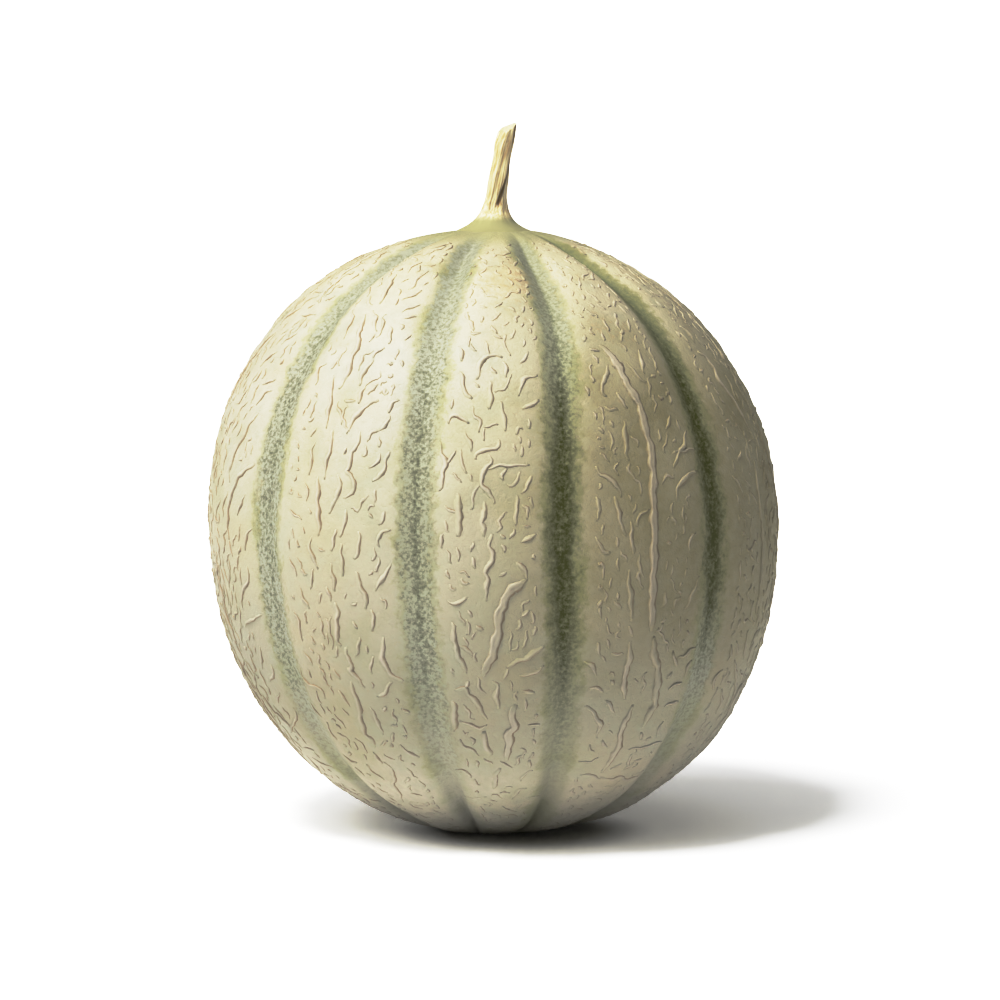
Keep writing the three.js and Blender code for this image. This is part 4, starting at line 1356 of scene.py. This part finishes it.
class MelonStudioSettings(bpy.types.PropertyGroup):
    """Light, floor and camera."""

    key_strength: number_property("Key strength", "Irradiance of the key light", 2.7)
    key_softness: angle_property("Key softness", "Width of the key light", 12)
    key_turn: angle_property("Key turn", "Key light, left of the front", 36)
    key_rise: angle_property("Key height", "Key light above the floor", 62)
    window_strength: number_property("Window strength", "Irradiance of the window light", 2.1)
    window_softness: angle_property("Window softness", "Width of the window light", 45)
    window_turn: angle_property("Window turn", "Window light, left of the front", 56)
    window_rise: angle_property("Window height", "Window light above the floor", 52)
    sky_strength: number_property("Sky strength", "Light from straight above", 1.45)
    sky_fall: number_property("Sky fall", "How fast the sky dims away from its top", 4)
    paper_colour: colour_property("Paper", "Studio floor", "#f3f3f3")
    paper_glow: number_property("Paper glow", "Light from beneath the paper", 0.25)


SETTINGS = {
    "melon_rind": MelonRindSettings,
    "melon_net": MelonNetSettings,
    "melon_stem": MelonStemSettings,
    "melon_studio": MelonStudioSettings,
}


# Operators


class MELON_OT_rind(bpy.types.Operator):
    """Makes the rind with its lobes, sutures and blossom scar"""

    bl_idname = "melon.rind"
    bl_label = "Rind"

    def execute(self, context):
        rind = context.scene.melon_rind
        tube, attributes = rind_tube(RIND_COLUMNS, RIND_ROWS, rind.scar_depth / MM)
        piece = mesh_object("rind", [tube], attributes, make_rind_material(rind))
        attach(piece, "root")
        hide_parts("fruit")
        return {"FINISHED"}


class MELON_OT_net(bpy.types.Operator):
    """Makes the corky net: cords laid out on the front, cords grown on the back, and flecks"""

    bl_idname = "melon.net"
    bl_label = "Corky net"

    def execute(self, context):
        rind, net = context.scene.melon_rind, context.scene.melon_net
        material = make_cork_material(rind, net)
        draws = np.random.default_rng(NET_SEED)
        front = drawn_ridges(LEFT_CORDS, net, RIDGE_SHAPES[LIPPED], draws)
        front += drawn_ridges(RIGHT_CORDS, net, RIDGE_SHAPES[LEVEL], draws)
        front += drawn_ridges(CRACKED_CORDS, net, RIDGE_SHAPES[CRACKED], draws)
        back = grown_ridges(net, draws)
        front_flecks = round(net.flecks * FRONT_FLECKS)
        front_lobes = (0, LAST_FRONT_LOBE)
        back_lobes = (LAST_FRONT_LOBE + 1, len(SUTURE_LONGITUDES) - 1)
        groups = {
            "net_cords_front": front,
            "net_cords_back": back,
            "net_flecks_front": fleck_ridges(net, draws, front_lobes, front_flecks, front),
            "net_flecks_back": fleck_ridges(net, draws, back_lobes, net.flecks - front_flecks, back),
        }
        for name, ridges in groups.items():
            piece = net_object(name, ridges, material)
            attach(piece, "root")
        return {"FINISHED"}


class MELON_OT_stem(bpy.types.Operator):
    """Makes the dried stem with its ribs, its groove and its cut"""

    bl_idname = "melon.stem"
    bl_label = "Dried stem"

    def execute(self, context):
        stem = context.scene.melon_stem
        tube, attributes = stalk_tube(stem)
        piece = mesh_object("dried_stem", [tube], attributes, make_stem_material(stem))
        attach(piece, "root")
        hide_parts("stem")
        return {"FINISHED"}


class MELON_OT_studio(bpy.types.Operator):
    """Makes the white floor, the two lights, the dim sky and the camera"""

    bl_idname = "melon.studio"
    bl_label = "Studio"

    def execute(self, context):
        studio = context.scene.melon_studio
        make_floor(studio)
        key = (studio.key_strength, studio.key_softness, studio.key_turn, studio.key_rise)
        make_sunlight("key_light", *key)
        window = (studio.window_strength, studio.window_softness, studio.window_turn, studio.window_rise)
        make_sunlight("window_light", *window)
        make_sky(context.scene, studio)
        context.scene.camera = make_camera()
        set_tones(context.scene.view_settings)
        return {"FINISHED"}


def set_tones(view_settings):
    """Plain colours with a contrast curve, which deepens the shade and leaves white as it is."""
    view_settings.view_transform = "Standard"
    view_settings.use_curve_mapping = True
    tones = view_settings.curve_mapping
    tones.white_level = (TONE_WHITE,) * 3
    for light, shown in TONE_POINTS:
        tones.curves[3].points.new(light / TONE_WHITE, shown)
    tones.update()


def make_floor(studio):
    """A square of paper that reaches to where its far edge meets the sky."""
    half = FLOOR_HALF_WIDTH
    mesh = bpy.data.meshes.new("studio_floor")
    corners = [(-half, -half, 0), (half, -half, 0), (half, half, 0), (-half, half, 0)]
    mesh.from_pydata(corners, [], [(0, 1, 2, 3)])
    mesh.materials.append(make_floor_material(studio))
    floor = bpy.data.objects.new("studio_floor", mesh)
    bpy.context.scene.collection.objects.link(floor)


def make_sunlight(name, strength, softness, turn, rise):
    """Light from one side, turned so far left of the front and so high above the floor."""
    lamp = bpy.data.lights.new(name, "SUN")
    lamp.energy = strength
    lamp.angle = softness
    light = bpy.data.objects.new(name, lamp)
    level = math.cos(rise)
    towards = Vector((-level * math.sin(turn), -level * math.cos(turn), math.sin(rise)))
    light.rotation_euler = towards.to_track_quat("Z", "Y").to_euler()
    bpy.context.scene.collection.objects.link(light)


def make_sky(scene, studio):
    """A sky whose light falls off from its top as a power of the height, with a white strip along the
    horizon."""
    world = bpy.data.worlds.new("studio_sky")
    world.use_nodes = True
    tree = world.node_tree
    tree.nodes.clear()
    direction = add_node(tree, PLACE, output="Generated")
    rise = add_node(tree, "ShaderNodeSeparateXYZ", {"Vector": direction}, "Z")
    level = add_node(tree, MATHS, {0: rise}, operation="ABSOLUTE")
    height = add_node(tree, MATHS, {0: rise, 1: 0.0}, operation="MAXIMUM")
    dimmed = add_node(tree, MATHS, {0: height, 1: studio.sky_fall}, operation="POWER")
    above = add_node(tree, MATHS, {0: dimmed, 1: studio.sky_strength}, operation="MULTIPLY")
    start, end = STRIP_HEIGHTS
    strip = {"Value": level, "From Min": start, "From Max": end, "To Min": STRIP_STRENGTH, "To Max": 0}
    strip = add_node(tree, RAMP, strip)
    strength = add_node(tree, MATHS, {0: above, 1: strip}, operation="MAXIMUM")
    shader = add_node(tree, "ShaderNodeBackground", {"Color": (1, 1, 1, 1), "Strength": strength})
    add_node(tree, "ShaderNodeOutputWorld", {"Surface": shader})
    scene.world = world


def make_camera():
    """A long lens a little above the melon, whose frame takes in the stem and the shadow."""
    lens = bpy.data.cameras.new("camera")
    lens.sensor_width = SENSOR_WIDTH
    lens.lens = lens.sensor_width * EYE_DISTANCE / FRAME_WIDTH
    camera = bpy.data.objects.new("camera", lens)
    towards_eye = Vector((0, -math.cos(EYE_ELEVATION), math.sin(EYE_ELEVATION)))
    upward = Vector((0, math.sin(EYE_ELEVATION), math.cos(EYE_ELEVATION)))
    aim = Vector((FRAME_RIGHT, 0, EQUATOR_HEIGHT)) + upward * FRAME_UP
    camera.location = (aim + towards_eye * EYE_DISTANCE) * MM
    camera.rotation_euler = towards_eye.to_track_quat("Z", "Y").to_euler()
    bpy.context.scene.collection.objects.link(camera)
    return camera


class MELON_PT_sidebar(bpy.types.Panel):
    """Lists the melon's pieces and their settings"""

    bl_idname = "MELON_PT_sidebar"
    bl_label = "Netted Cantaloupe"
    bl_space_type = "VIEW_3D"
    bl_region_type = "UI"
    bl_category = "Melon"

    def draw(self, context):
        for group, operator in zip(SETTINGS, OPERATORS):
            box = self.layout.box()
            box.operator(operator.bl_idname)
            settings = getattr(context.scene, group)
            for key in SETTINGS[group].__annotations__:
                box.prop(settings, key)


OPERATORS = (MELON_OT_rind, MELON_OT_net, MELON_OT_stem, MELON_OT_studio)
CLASSES = (*SETTINGS.values(), *OPERATORS, MELON_PT_sidebar)


def register():
    """Registers the settings, the operators and the panel."""
    for made in CLASSES:
        bpy.utils.register_class(made)
    for key, group in SETTINGS.items():
        setattr(bpy.types.Scene, key, PointerProperty(type=group))


def unregister():
    """Takes away what register() added."""
    for key in SETTINGS:
        delattr(bpy.types.Scene, key)
    for made in reversed(CLASSES):
        bpy.utils.unregister_class(made)


def main():
    """Makes every piece and the studio."""
    register()
    bpy.ops.melon.studio()
    bpy.ops.melon.rind()
    bpy.ops.melon.net()
    bpy.ops.melon.stem()
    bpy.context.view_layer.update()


if __name__ == "__main__":
    main()
